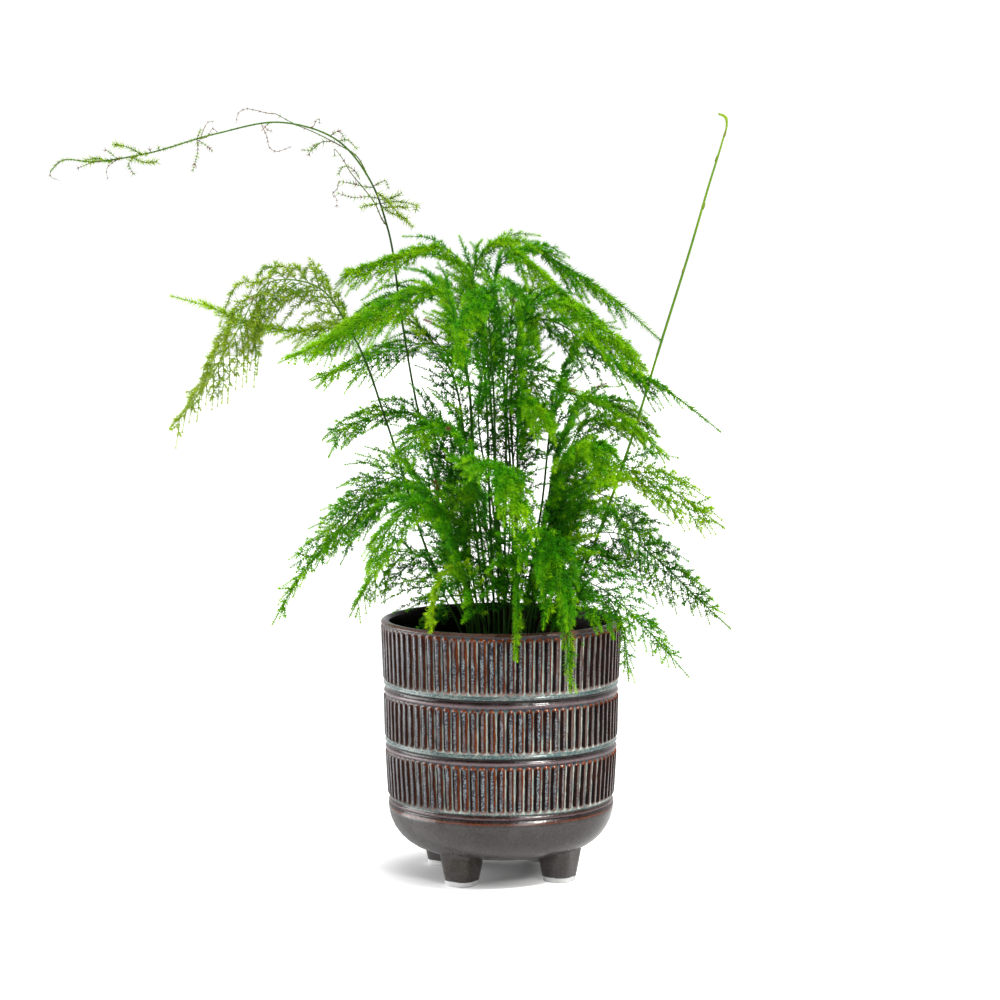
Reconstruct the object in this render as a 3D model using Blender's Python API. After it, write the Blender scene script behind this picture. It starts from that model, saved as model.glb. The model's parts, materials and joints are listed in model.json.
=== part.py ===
"""A potted asparagus fern: a ribbed ceramic pot on four feet, its soil, and wiry stems with needled fronds.

Metres, +Z up, +Y away from the front. The pot stands on z = 0 and is built round the Z axis. At the end
the whole plant is moved sideways together, so that the origin lies under the middle of its box.
"""

import math
import random

import bmesh
import bpy
import numpy as np
from mathutils import Matrix, Quaternion, Vector

# Pot, one fired piece
POT_HEIGHT = 0.161
WALL = 0.0055
LIP_DROP = 0.0016  # how far the rounded lip falls to its inner and outer edges
OUTSIDE = ((0.161, 0.0750), (0.119, 0.0735), (0.084, 0.0727), (0.046, 0.0705))  # height and outer radius
INSIDE_TOP_RADIUS = 0.0695
CORNER_RADIUS = 0.029
CORNER_HEIGHT = 0.046  # where the wall starts to turn in towards the floor
CORNER_STEPS = 4
BODY_COLUMNS = 40
RIBS = 80
RIB_DEPTH = 0.0013
RIB_BANDS = ((0.1576, 0.1244), (0.1142, 0.0887), (0.0793, 0.0514))  # top and bottom of each band
BEAD_INSET = 0.0004
GROOVE_INSET = 0.0016
BEADS = ((0.1222, 0.1193, 0.1162), (0.0864, 0.0838, 0.0814))  # bead, groove, bead under a band
LOW_GROOVE = 0.0497
LOW_BEAD = 0.0476

# Feet, part of the pot
FOOT_SPREAD = 0.0433  # from the pot's axis to the middle of a foot
FOOT_FIRST_ANGLE = math.radians(-123.7)
FOOT_COUNT = 4
FOOT_TOP_WIDTH = 0.024
FOOT_END_WIDTH = 0.018
FOOT_ROOT_HEIGHT = 0.0215  # inside the thickness of the pot's floor
FOOT_ROUNDING = 0.005

# Soil
CLEARANCE = 0.0003  # between any two touching pieces
SOIL_EDGE_HEIGHT = 0.1330
SOIL_MIDDLE_HEIGHT = 0.1345
SOIL_RING_RADIUS = 0.050
SOIL_UNEVENNESS = 0.0009
SOIL_HUMPS = (0.9, 2.3)  # two waves round the soil, in radians for each column
CROWN_RADIUS = 0.030  # the flat middle that the stems come out of
CROWN_COLUMNS = 20
HOLE_RADIUS = 0.0014
HOLE_SIDES = 5
HOLE_DEPTH = 0.012
STRAIGHT_ABOVE_SOIL = 0.003  # how far a stem goes straight up out of its hole

# Stems and fronds
STEM_RADIUS = 0.00085
RACHIS_END_RADIUS = 0.00050
TWIG_ROOT_RADIUS = 0.00030
TWIG_RADIUS = 0.00048
TWIG_SWELL = 0.0022  # from a twig's root to its full thickness
STEM_SIDES = 3
LONGEST_STEP = 0.050
BEND_PER_RING = math.radians(21)
FINE_STEP = 0.002
NEEDLE_LENGTH = 0.0046
NEEDLE_BASE = 0.0008
NEEDLE_RADIUS = 0.00035
NEEDLE_LEAN = math.radians(52)  # from the twig's own direction
WHORL_SPACING = 0.0122
RING_SPACE = 0.003  # a plain ring nearer than this to a whorl is left out
WHORL_FROM_ROOT = 0.0060
WHORL_FROM_TIP = 0.0016
WHORL_TURN = math.radians(38)
RACHIS_WHORLS = 2
TIP_NEEDLE_SHARE = 0.75
BRANCH_ANGLE = (math.radians(56), math.radians(34))  # at the frond's base and at its tip
BRANCH_FORWARD = 0.25  # how far a branch bends to the frond's own direction
BRANCH_DROOP = 0.14
SHORTEST_BRANCH = 0.011
BRANCH_JITTER = 0.12
FIRST_BRANCH = 0.4  # in branch spacings, from the start of the leafy stretch
BASE_SHARE = 0.65  # the lowest branches against the longest
WIDEST_AT = 0.15  # where along the leafy stretch the branches reach furthest
TAPER = 0.75
LIFTS = (0, 14, -14, 28, -28, 42, -42)  # degrees tried, in turn, to keep a branch clear of the other fronds
SHARES = (1.0, 0.75, 0.5)  # of its length, tried in turn for the same reason
SMALLEST_SPREAD = 1e-18  # below this two rods count as parallel

# Every stem from the soil to its last needle. foot is where it leaves the soil, and path goes on from there,
# on the pot's axes. bare is the share of its length below the first branch, reach the longest branch, and
# branches how many there are.
FRONDS = {
    "frond_left_drooping": dict(
        foot=(-0.017, -0.006), bare=0.52, reach=0.034, branches=5, kind="olive",
        path=((-0.046, -0.012, 0.205), (-0.070, -0.014, 0.283), (-0.090, -0.015, 0.336), (-0.114, -0.015, 0.368),
              (-0.141, -0.014, 0.370), (-0.161, -0.013, 0.341), (-0.182, -0.012, 0.306), (-0.203, -0.011, 0.281)),
    ),
    "frond_left_sagging": dict(
        foot=(-0.010, 0.011), bare=0.60, reach=0.024, branches=4, kind="young",
        path=((-0.020, 0.020, 0.240), (-0.038, 0.022, 0.325), (-0.060, 0.018, 0.347), (-0.088, 0.013, 0.344),
              (-0.125, 0.009, 0.339), (-0.160, 0.006, 0.345), (-0.180, 0.004, 0.354), (-0.204, 0.003, 0.361)),
    ),
    "frond_top_left": dict(
        foot=(-0.004, 0.004), bare=0.70, reach=0.043, branches=5, kind="green",
        path=((-0.007, 0.006, 0.230), (-0.012, 0.006, 0.330), (-0.020, 0.005, 0.376), (-0.036, 0.002, 0.391),
              (-0.056, -0.002, 0.388), (-0.076, -0.006, 0.382), (-0.098, -0.010, 0.374)),
    ),
    "frond_top_right": dict(
        foot=(0.003, -0.004), bare=0.68, reach=0.046, branches=5, kind="green",
        path=((-0.002, -0.009, 0.230), (-0.009, -0.012, 0.330), (-0.014, -0.014, 0.384), (-0.002, -0.022, 0.395),
              (0.014, -0.034, 0.384), (0.034, -0.048, 0.366), (0.055, -0.060, 0.345)),
    ),
    "frond_upper_left": dict(
        foot=(-0.009, -0.012), bare=0.62, reach=0.050, branches=5, kind="green",
        path=((-0.017, -0.026, 0.235), (-0.023, -0.034, 0.325), (-0.038, -0.040, 0.366), (-0.065, -0.046, 0.358),
              (-0.098, -0.050, 0.339), (-0.134, -0.052, 0.322)),
    ),
    "frond_upper_left_back": dict(
        foot=(-0.007, 0.017), bare=0.62, reach=0.050, branches=5, kind="green",
        path=((-0.016, 0.032, 0.240), (-0.024, 0.046, 0.325), (-0.036, 0.056, 0.362), (-0.062, 0.066, 0.360),
              (-0.094, 0.074, 0.342), (-0.124, 0.080, 0.317)),
    ),
    "frond_upper_right": dict(
        foot=(0.008, 0.010), bare=0.64, reach=0.040, branches=5, kind="green",
        path=((0.006, 0.026, 0.250), (0.000, 0.036, 0.340), (0.000, 0.042, 0.383), (0.018, 0.046, 0.391),
              (0.038, 0.048, 0.380), (0.070, 0.050, 0.359), (0.102, 0.052, 0.331)),
    ),
    "frond_right_long": dict(
        foot=(0.010, -0.003), bare=0.56, reach=0.042, branches=5, kind="green",
        path=((0.009, -0.006, 0.230), (0.008, -0.008, 0.315), (0.016, -0.010, 0.347), (0.034, -0.013, 0.345),
              (0.058, -0.017, 0.328), (0.082, -0.021, 0.315), (0.107, -0.025, 0.300), (0.134, -0.029, 0.279)),
    ),
    "frond_upper_right_front": dict(
        foot=(0.009, -0.013), bare=0.62, reach=0.046, branches=5, kind="green",
        path=((0.010, -0.028, 0.240), (0.012, -0.043, 0.325), (0.018, -0.056, 0.358), (0.038, -0.066, 0.357),
              (0.062, -0.076, 0.341), (0.086, -0.084, 0.319)),
    ),
    "frond_upper_front": dict(
        foot=(-0.001, -0.014), bare=0.62, reach=0.050, branches=5, kind="green",
        path=((-0.003, -0.032, 0.240), (-0.006, -0.052, 0.330), (-0.010, -0.074, 0.364), (-0.016, -0.100, 0.358),
              (-0.022, -0.124, 0.342), (-0.026, -0.142, 0.322)),
    ),
    "frond_upper_back": dict(
        foot=(0.002, 0.018), bare=0.62, reach=0.050, branches=5, kind="green",
        path=((0.003, 0.038, 0.240), (0.005, 0.060, 0.325), (0.009, 0.084, 0.362), (0.014, 0.108, 0.358),
              (0.020, 0.130, 0.340), (0.026, 0.148, 0.318)),
    ),
    "frond_upper_right_back": dict(
        foot=(0.014, 0.013), bare=0.58, reach=0.046, branches=5, kind="green",
        path=((0.026, 0.034, 0.230), (0.038, 0.054, 0.305), (0.052, 0.072, 0.332), (0.072, 0.088, 0.328),
              (0.094, 0.104, 0.306)),
    ),
    "frond_middle_right": dict(
        foot=(0.004, -0.009), bare=0.56, reach=0.036, branches=5, kind="green",
        path=((-0.004, -0.016, 0.225), (-0.013, -0.020, 0.300), (-0.008, -0.023, 0.321), (0.010, -0.027, 0.318),
              (0.033, -0.032, 0.306), (0.056, -0.036, 0.298), (0.080, -0.039, 0.283), (0.102, -0.042, 0.263)),
    ),
    "frond_middle_left": dict(
        foot=(-0.017, 0.009), bare=0.60, reach=0.036, branches=5, kind="green",
        path=((-0.025, 0.010, 0.230), (-0.028, 0.014, 0.305), (-0.038, 0.017, 0.330), (-0.060, 0.018, 0.329),
              (-0.090, 0.016, 0.319), (-0.118, 0.013, 0.308)),
    ),
    "frond_left_low_arch": dict(
        foot=(-0.018, -0.001), bare=0.54, reach=0.034, branches=5, kind="green",
        path=((-0.028, -0.003, 0.210), (-0.036, -0.004, 0.266), (-0.048, -0.006, 0.287), (-0.066, -0.009, 0.290),
              (-0.088, -0.014, 0.284), (-0.107, -0.019, 0.272)),
    ),
    "frond_middle_right_back": dict(
        foot=(0.017, 0.008), bare=0.52, reach=0.042, branches=5, kind="green",
        path=((0.027, 0.018, 0.210), (0.038, 0.028, 0.270), (0.052, 0.036, 0.294), (0.074, 0.042, 0.290),
              (0.100, 0.048, 0.270)),
    ),
    "frond_lower_left": dict(
        foot=(-0.019, -0.010), bare=0.46, reach=0.046, branches=5, kind="green",
        path=((-0.028, -0.019, 0.190), (-0.038, -0.027, 0.236), (-0.054, -0.033, 0.249), (-0.078, -0.038, 0.237),
              (-0.102, -0.042, 0.216), (-0.122, -0.044, 0.192), (-0.139, -0.046, 0.163)),
    ),
    "frond_lower_left_back": dict(
        foot=(-0.016, 0.014), bare=0.44, reach=0.046, branches=5, kind="green",
        path=((-0.032, 0.028, 0.195), (-0.048, 0.044, 0.236), (-0.068, 0.058, 0.244), (-0.092, 0.070, 0.226),
              (-0.116, 0.082, 0.192)),
    ),
    "frond_low_left": dict(
        foot=(-0.022, 0.000), bare=0.42, reach=0.030, branches=4, kind="green",
        path=((-0.034, -0.001, 0.172), (-0.048, -0.003, 0.199), (-0.064, -0.006, 0.203), (-0.080, -0.009, 0.187),
              (-0.094, -0.012, 0.163)),
    ),
    "frond_lower_right": dict(
        foot=(0.019, -0.003), bare=0.44, reach=0.044, branches=5, kind="young",
        path=((0.031, -0.011, 0.200), (0.046, -0.019, 0.245), (0.066, -0.026, 0.258), (0.088, -0.031, 0.252),
              (0.112, -0.035, 0.238), (0.136, -0.039, 0.221)),
    ),
    "frond_lower_right_long": dict(
        foot=(0.021, 0.003), bare=0.42, reach=0.040, branches=5, kind="green",
        path=((0.035, 0.003, 0.182), (0.052, 0.002, 0.212), (0.072, -0.001, 0.214), (0.096, -0.005, 0.199),
              (0.119, -0.010, 0.177), (0.142, -0.015, 0.156)),
    ),
    "frond_low_right_front": dict(
        foot=(0.018, -0.012), bare=0.40, reach=0.034, branches=4, kind="green",
        path=((0.029, -0.025, 0.165), (0.044, -0.040, 0.190), (0.062, -0.052, 0.185), (0.084, -0.060, 0.166),
              (0.113, -0.066, 0.134)),
    ),
    "frond_droop_front": dict(
        foot=(0.004, -0.020), bare=0.44, reach=0.030, branches=4, kind="green",
        path=((0.006, -0.034, 0.172), (0.008, -0.052, 0.205), (0.010, -0.070, 0.202), (0.010, -0.084, 0.180),
              (0.008, -0.092, 0.148)),
    ),
    "frond_droop_front_right": dict(
        foot=(0.011, -0.019), bare=0.44, reach=0.030, branches=4, kind="young",
        path=((0.018, -0.035, 0.170), (0.027, -0.055, 0.198), (0.035, -0.073, 0.192), (0.039, -0.086, 0.166),
              (0.041, -0.093, 0.129)),
    ),
    "frond_droop_front_left": dict(
        foot=(-0.006, -0.020), bare=0.46, reach=0.026, branches=4, kind="young",
        path=((-0.014, -0.036, 0.172), (-0.024, -0.055, 0.199), (-0.034, -0.072, 0.198), (-0.040, -0.084, 0.184),
              (-0.042, -0.091, 0.164)),
    ),
    "frond_droop_right": dict(
        foot=(0.022, -0.016), bare=0.44, reach=0.028, branches=4, kind="green",
        path=((0.036, -0.028, 0.160), (0.051, -0.041, 0.181), (0.065, -0.052, 0.178), (0.074, -0.060, 0.157),
              (0.077, -0.064, 0.131)),
    ),
    "frond_bush_right_front": dict(
        foot=(0.014, -0.008), bare=0.46, reach=0.044, branches=5, kind="green",
        path=((0.026, -0.026, 0.205), (0.038, -0.046, 0.256), (0.049, -0.064, 0.274), (0.058, -0.082, 0.271),
              (0.062, -0.098, 0.255)),
    ),
    "frond_bush_front": dict(
        foot=(-0.003, -0.009), bare=0.46, reach=0.046, branches=5, kind="green",
        path=((-0.006, -0.030, 0.205), (-0.007, -0.056, 0.252), (-0.004, -0.080, 0.264), (0.004, -0.102, 0.256),
              (0.014, -0.120, 0.239)),
    ),
    "frond_bush_front_left": dict(
        foot=(-0.013, -0.015), bare=0.44, reach=0.042, branches=5, kind="green",
        path=((-0.024, -0.036, 0.195), (-0.036, -0.058, 0.234), (-0.050, -0.076, 0.241), (-0.065, -0.090, 0.228),
              (-0.079, -0.102, 0.202)),
    ),
    "frond_bush_low_front": dict(
        foot=(0.007, -0.014), bare=0.42, reach=0.036, branches=5, kind="green",
        path=((0.013, -0.034, 0.186), (0.021, -0.058, 0.221), (0.028, -0.080, 0.222), (0.033, -0.096, 0.205),
              (0.035, -0.106, 0.182)),
    ),
    "frond_bush_back": dict(
        foot=(-0.003, 0.022), bare=0.44, reach=0.046, branches=5, kind="green",
        path=((-0.008, 0.046, 0.196), (-0.014, 0.072, 0.234), (-0.020, 0.096, 0.238), (-0.024, 0.118, 0.220),
              (-0.026, 0.136, 0.190)),
    ),
    "frond_bush_right_back": dict(
        foot=(0.012, 0.020), bare=0.44, reach=0.046, branches=5, kind="green",
        path=((0.028, 0.044, 0.192), (0.046, 0.066, 0.228), (0.066, 0.084, 0.230), (0.086, 0.098, 0.210),
              (0.104, 0.110, 0.180)),
    ),
    "frond_inner_front": dict(
        foot=(0.002, 0.009), bare=0.52, reach=0.044, branches=5, kind="green",
        path=((0.005, 0.003, 0.205), (0.008, -0.001, 0.262), (0.015, -0.026, 0.296), (0.021, -0.052, 0.298),
              (0.027, -0.076, 0.284)),
    ),
    "frond_inner_left": dict(
        foot=(-0.012, -0.005), bare=0.52, reach=0.040, branches=5, kind="green",
        path=((-0.019, -0.012, 0.200), (-0.024, -0.022, 0.262), (-0.032, -0.036, 0.284), (-0.046, -0.052, 0.282),
              (-0.062, -0.066, 0.264)),
    ),
    "frond_inner_right": dict(
        foot=(0.017, -0.004), bare=0.50, reach=0.042, branches=5, kind="green",
        path=((0.028, -0.007, 0.205), (0.040, -0.010, 0.262), (0.055, -0.012, 0.285), (0.074, -0.014, 0.282),
              (0.094, -0.015, 0.264)),
    ),
    "stem_arching": dict(
        foot=(-0.012, 0.004), bare=1.0, reach=0.0, branches=0, kind="olive",
        path=((-0.030, 0.006, 0.210), (-0.052, 0.006, 0.292), (-0.062, 0.005, 0.350), (-0.070, 0.004, 0.403),
              (-0.080, 0.002, 0.431), (-0.100, 0.000, 0.456), (-0.133, -0.002, 0.467), (-0.175, -0.004, 0.460),
              (-0.217, -0.006, 0.448), (-0.250, -0.007, 0.443), (-0.270, -0.008, 0.443), (-0.2755, -0.008, 0.437)),
    ),
    "stem_young_shoot": dict(
        foot=(0.026, 0.006), bare=1.0, reach=0.0, branches=0, kind="shoot",
        path=((0.038, 0.008, 0.160), (0.059, 0.009, 0.208), (0.080, 0.009, 0.268), (0.100, 0.009, 0.334),
              (0.118, 0.008, 0.393), (0.128, 0.008, 0.428), (0.137, 0.008, 0.458), (0.139, 0.007, 0.466),
              (0.138, 0.006, 0.471), (0.134, 0.006, 0.4725)),
    ),
}

# Single twigs of the long arching stem, which is bare between them: its other arm, the small sprigs along it
# and the one that turns back to the right.
ARCHING_TWIGS = (
    ((-0.0705, 0.004, 0.404), (-0.078, 0.008, 0.417), (-0.088, 0.011, 0.432), (-0.100, 0.013, 0.447),
     (-0.118, 0.015, 0.461), (-0.139, 0.016, 0.4715), (-0.157, 0.017, 0.4725), (-0.1635, 0.017, 0.4695)),
    ((-0.0785, 0.0025, 0.4285), (-0.070, -0.004, 0.420), (-0.060, -0.010, 0.409), (-0.053, -0.015, 0.401)),
    ((-0.088, 0.001, 0.443), (-0.079, -0.006, 0.444), (-0.070, -0.010, 0.440)),
    ((-0.110, -0.001, 0.4608), (-0.116, -0.009, 0.456), (-0.126, -0.014, 0.450)),
    ((-0.148, -0.003, 0.4663), (-0.142, -0.009, 0.458), (-0.137, -0.011, 0.450)),
    ((-0.1855, -0.0045, 0.4572), (-0.188, -0.006, 0.448), (-0.188, -0.008, 0.437)),
    ((-0.205, -0.0055, 0.4512), (-0.214, -0.010, 0.4545), (-0.222, -0.013, 0.455)),
    ((-0.230, -0.0065, 0.4453), (-0.238, -0.001, 0.448), (-0.246, 0.003, 0.4475)),
)

SHARP_ANGLE = math.radians(40)  # edges bent more than this are drawn sharp

MATERIALS = {
    "glaze": dict(colour=(0.050, 0.038, 0.034), roughness=0.28),
    "soil": dict(colour=(0.030, 0.020, 0.014), roughness=0.95),
    "green": dict(colour=(0.045, 0.200, 0.010), roughness=0.50),
    "young": dict(colour=(0.190, 0.380, 0.015), roughness=0.50),
    "olive": dict(colour=(0.100, 0.230, 0.014), roughness=0.50),
    "shoot": dict(colour=(0.100, 0.270, 0.030), roughness=0.45),
}


def clear_scene():
    for thing in list(bpy.data.objects):
        bpy.data.objects.remove(thing)


def principled(name):
    material = bpy.data.materials.new(name)
    material.use_nodes = True
    shader = material.node_tree.nodes["Principled BSDF"]
    shader.inputs["Base Color"].default_value = (*MATERIALS[name]["colour"], 1)
    shader.inputs["Roughness"].default_value = MATERIALS[name]["roughness"]
    return material


def object_from(bm, name, collection=None):
    """The bmesh as a named object, with its faces pointing out."""
    bmesh.ops.recalc_face_normals(bm, faces=bm.faces)
    mesh = bpy.data.meshes.new(name)
    bm.to_mesh(mesh)
    bm.free()
    thing = bpy.data.objects.new(name, mesh)
    (collection or bpy.context.scene.collection).objects.link(thing)
    return thing


def helpers(name):
    """A collection for shapes that are joined to, or cut from, a piece."""
    collection = bpy.data.collections.new(name)
    collection.hide_render = True
    bpy.context.scene.collection.children.link(collection)
    return collection


def combine(piece, collection, operation, solver="EXACT"):
    """Applies one Boolean of the piece with the whole collection, then removes the collection."""
    modifier = piece.modifiers.new("combine", "BOOLEAN")
    modifier.operation = operation
    modifier.operand_type = "COLLECTION"
    modifier.collection = collection
    modifier.solver = solver
    graph = bpy.context.evaluated_depsgraph_get()
    joined = bpy.data.meshes.new_from_object(piece.evaluated_get(graph))
    piece.modifiers.clear()
    piece.data = joined
    for helper in list(collection.objects):
        bpy.data.objects.remove(helper)
    bpy.data.collections.remove(collection)


def keep_largest_shell(piece):
    """Fills a hollow that joining has sealed and drops a loose scrap, each a shell apart from the main one."""
    bm = bmesh.new()
    bm.from_mesh(piece.data)
    unseen = set(bm.faces)
    shells = []
    while unseen:
        shell = {unseen.pop()}
        growing = list(shell)
        while growing:
            edges = [edge for edge in growing.pop().edges if len(edge.link_faces) == 2]
            for face in {face for edge in edges for face in edge.link_faces} & unseen:
                unseen.remove(face)
                shell.add(face)
                growing.append(face)
        shells.append(shell)
    largest = max(shells, key=len)
    bmesh.ops.delete(bm, geom=[face for face in bm.faces if face not in largest], context="FACES")
    bm.to_mesh(piece.data)
    bm.free()


# Turned shapes


def add_ring(bm, radii, heights):
    """A closed ring of vertices round the Z axis, one for each radius and height."""
    ring = []
    for column, (radius, height) in enumerate(zip(radii, heights)):
        angle = math.tau * column / len(radii)
        ring.append(bm.verts.new((radius * math.cos(angle), radius * math.sin(angle), height)))
    return ring


def smooth_ring(bm, radius, height, columns=BODY_COLUMNS):
    return add_ring(bm, [radius] * columns, [height] * columns)


def join_rings(bm, first, second):
    """Faces between two rings. A ring with more columns is met by a fan from each column of the other."""
    few, many = sorted((first, second), key=len)
    share = len(many) // len(few)
    for column, vertex in enumerate(few):
        follower = few[(column + 1) % len(few)]
        if share == 1:
            bm.faces.new((vertex, follower, many[(column + 1) % len(many)], many[column]))
            continue
        middle = column * share
        for step in range(-(share // 2), share - share // 2):
            bm.faces.new((vertex, many[(middle + step) % len(many)], many[(middle + step + 1) % len(many)]))
        bm.faces.new((vertex, many[(middle + share - share // 2) % len(many)], follower))


def turn(bm, rings):
    """Joins a stack of rings and closes both ends with a flat face."""
    for first, second in zip(rings, rings[1:]):
        join_rings(bm, first, second)
    bm.faces.new(rings[0])
    bm.faces.new(rings[-1])


def outer_radius(height):
    """The pot's outer radius at a height, on straight runs between its measured widths."""
    heights, radii = zip(*reversed(OUTSIDE))
    return float(np.interp(height, heights, radii))


def ribbed_ring(bm, height):
    """Ridges and furrows by turns, two columns for each rib."""
    ridge = outer_radius(height)
    return add_ring(bm, [ridge, ridge - RIB_DEPTH] * RIBS, [height] * (2 * RIBS))


def corner(radius_drop, steps):
    """The round corner from the wall down to the floor, as (radius, height), set in by radius_drop."""
    centre = outer_radius(CORNER_HEIGHT) - CORNER_RADIUS
    turned = CORNER_RADIUS - radius_drop
    angles = [math.pi / 2 * step / steps for step in range(steps + 1)]
    return [(centre + turned * math.cos(a), CORNER_HEIGHT - turned * math.sin(a)) for a in angles]


def inner_radius(height):
    """The straight inner wall, from the top of the floor's corner to the lip."""
    low = outer_radius(CORNER_HEIGHT) - WALL
    top_height = POT_HEIGHT - LIP_DROP
    return low + (INSIDE_TOP_RADIUS - low) * (height - CORNER_HEIGHT) / (top_height - CORNER_HEIGHT)


def pot_body():
    bm = bmesh.new()
    rings = [smooth_ring(bm, radius, height) for radius, height in reversed(corner(WALL, CORNER_STEPS // 2))]
    rings.append(smooth_ring(bm, INSIDE_TOP_RADIUS, POT_HEIGHT - LIP_DROP))
    rings.append(smooth_ring(bm, (INSIDE_TOP_RADIUS + OUTSIDE[0][1]) / 2, POT_HEIGHT))
    rings.append(smooth_ring(bm, OUTSIDE[0][1], POT_HEIGHT - LIP_DROP))
    for number, (top, bottom) in enumerate(RIB_BANDS):
        rings.append(ribbed_ring(bm, top))
        rings.append(ribbed_ring(bm, bottom))
        if number < len(BEADS):
            for height, inset in zip(BEADS[number], (BEAD_INSET, GROOVE_INSET, BEAD_INSET)):
                rings.append(smooth_ring(bm, outer_radius(height) - inset, height))
    rings.append(smooth_ring(bm, outer_radius(LOW_GROOVE) - GROOVE_INSET, LOW_GROOVE))
    rings.append(smooth_ring(bm, outer_radius(LOW_BEAD) - BEAD_INSET, LOW_BEAD))
    rings.extend(smooth_ring(bm, radius, height) for radius, height in corner(0, CORNER_STEPS)[1:])
    turn(bm, rings)
    return object_from(bm, "pot")


def add_foot(collection, angle):
    """A tapered square foot with rounded corners, from the ground into the thickness of the floor."""
    bm = bmesh.new()
    bmesh.ops.create_cube(bm, size=1)
    for vertex in bm.verts:
        width = FOOT_TOP_WIDTH if vertex.co.z > 0 else FOOT_END_WIDTH
        height = FOOT_ROOT_HEIGHT if vertex.co.z > 0 else 0
        vertex.co = (vertex.co.x * width, vertex.co.y * width, height)
    upright = [edge for edge in bm.edges
               if abs(edge.verts[0].co.z - edge.verts[1].co.z) > FOOT_ROOT_HEIGHT / 2]
    bmesh.ops.bevel(bm, geom=upright, offset=FOOT_ROUNDING, segments=2, profile=0.5, affect="EDGES")
    bmesh.ops.transform(
        bm,
        verts=bm.verts,
        matrix=Matrix.Rotation(angle, 4, "Z") @ Matrix.Translation((FOOT_SPREAD, 0, 0)),
    )
    object_from(bm, "foot", collection)


def make_pot():
    pot = pot_body()
    feet = helpers("feet")
    for number in range(FOOT_COUNT):
        add_foot(feet, FOOT_FIRST_ANGLE + math.tau * number / FOOT_COUNT)
    combine(pot, feet, "UNION")
    return pot


def make_soil():
    """The potting soil fills the pot up to its surface, with one plain hole for each stem."""
    bm = bmesh.new()
    outline = list(reversed(corner(WALL + CLEARANCE, CORNER_STEPS // 2)))
    outline.append((inner_radius(SOIL_EDGE_HEIGHT) - CLEARANCE, SOIL_EDGE_HEIGHT))
    rings = [smooth_ring(bm, radius, height) for radius, height in outline]
    humps = [
        SOIL_MIDDLE_HEIGHT + SOIL_UNEVENNESS * sum(math.sin(column * wave) for wave in SOIL_HUMPS) / 2
        for column in range(BODY_COLUMNS)
    ]
    rings.append(add_ring(bm, [SOIL_RING_RADIUS] * BODY_COLUMNS, humps))
    rings.append(smooth_ring(bm, CROWN_RADIUS, SOIL_MIDDLE_HEIGHT, CROWN_COLUMNS))
    turn(bm, rings)
    soil = object_from(bm, "soil")
    holes = helpers("stem_holes")
    for frond in FRONDS.values():
        bm = bmesh.new()
        bmesh.ops.create_cone(
            bm,
            cap_ends=True,
            segments=HOLE_SIDES,
            radius1=HOLE_RADIUS,
            radius2=HOLE_RADIUS,
            depth=2 * HOLE_DEPTH,
            matrix=Matrix.Translation((*frond["foot"], SOIL_MIDDLE_HEIGHT)),
        )
        object_from(bm, "stem_hole", holes)
    combine(soil, holes, "DIFFERENCE")
    return soil


# Curves


def smooth_curve(points, start_direction):
    """Points FINE_STEP apart on a smooth curve through the given ones, which starts in start_direction."""
    points = [Vector(point) for point in points]
    lengths = [(b - a).length for a, b in zip(points, points[1:])]
    slopes = [Vector(start_direction).normalized()]
    for before, middle, after, low, high in zip(points, points[1:], points[2:], lengths, lengths[1:]):
        slopes.append(((middle - before) / low * high + (after - middle) / high * low) / (low + high))
    slopes.append((points[-1] - points[-2]) / lengths[-1])
    line = [points[0]]
    for start, end, leave, arrive, length in zip(points, points[1:], slopes, slopes[1:], lengths):
        steps = max(2, round(length / FINE_STEP))
        for step in range(1, steps + 1):
            t = step / steps
            line.append(
                start * (2 * t**3 - 3 * t**2 + 1)
                + leave * length * (t**3 - 2 * t**2 + t)
                + end * (3 * t**2 - 2 * t**3)
                + arrive * length * (t**3 - t**2)
            )
    return line


class Line:
    """A curve that can be read by the distance along it."""

    def __init__(self, points):
        self.points = points
        self.columns = np.array(points).T
        steps = [(b - a).length for a, b in zip(points, points[1:])]
        self.marks = np.concatenate([[0], np.cumsum(steps)])
        self.length = float(self.marks[-1])

    def at(self, distance):
        return Vector(float(np.interp(distance, self.marks, column)) for column in self.columns)

    def direction(self, distance):
        return (self.at(distance + FINE_STEP / 2) - self.at(distance - FINE_STEP / 2)).normalized()

    def nearest(self, place):
        """The point of the curve that lies nearest to a place."""
        marks = np.arange(0, self.length, FINE_STEP / 4)
        return min((self.at(mark) for mark in marks), key=lambda point: (point - place).length)


def stem_line(frond):
    """The whole stem: straight up out of its hole in the soil, then along its path."""
    x, y = frond["foot"]
    foot = Vector((x, y, SOIL_MIDDLE_HEIGHT - HOLE_DEPTH + CLEARANCE))
    surface = Vector((x, y, SOIL_MIDDLE_HEIGHT + STRAIGHT_ABOVE_SOIL))
    return Line([foot] + smooth_curve([surface, *frond["path"]], (0, 0, 1)))


# Needled twigs


def places_by_bend(line, start):
    """Distances along a curve, close together where it bends and LONGEST_STEP apart where it is straight."""
    places = [start]
    distance = start
    while distance < line.length - FINE_STEP:
        turned = line.direction(distance).angle(line.direction(places[-1]))
        if turned > BEND_PER_RING or distance - places[-1] > LONGEST_STEP:
            places.append(distance)
        distance += FINE_STEP
    return places


def rings_along(plain, whorls):
    """Where the rings stand, as (distance, starts_a_whorl). A whorl has two rings, one needle base apart."""
    edges = [whorl + side * NEEDLE_BASE / 2 for whorl in whorls for side in (-1, 1)]
    starts = set(edges[::2])
    kept = [place for place in plain if place == 0 or all(abs(place - edge) > RING_SPACE for edge in edges)]
    return [(distance, distance in starts) for distance in sorted(kept + edges)]


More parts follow.
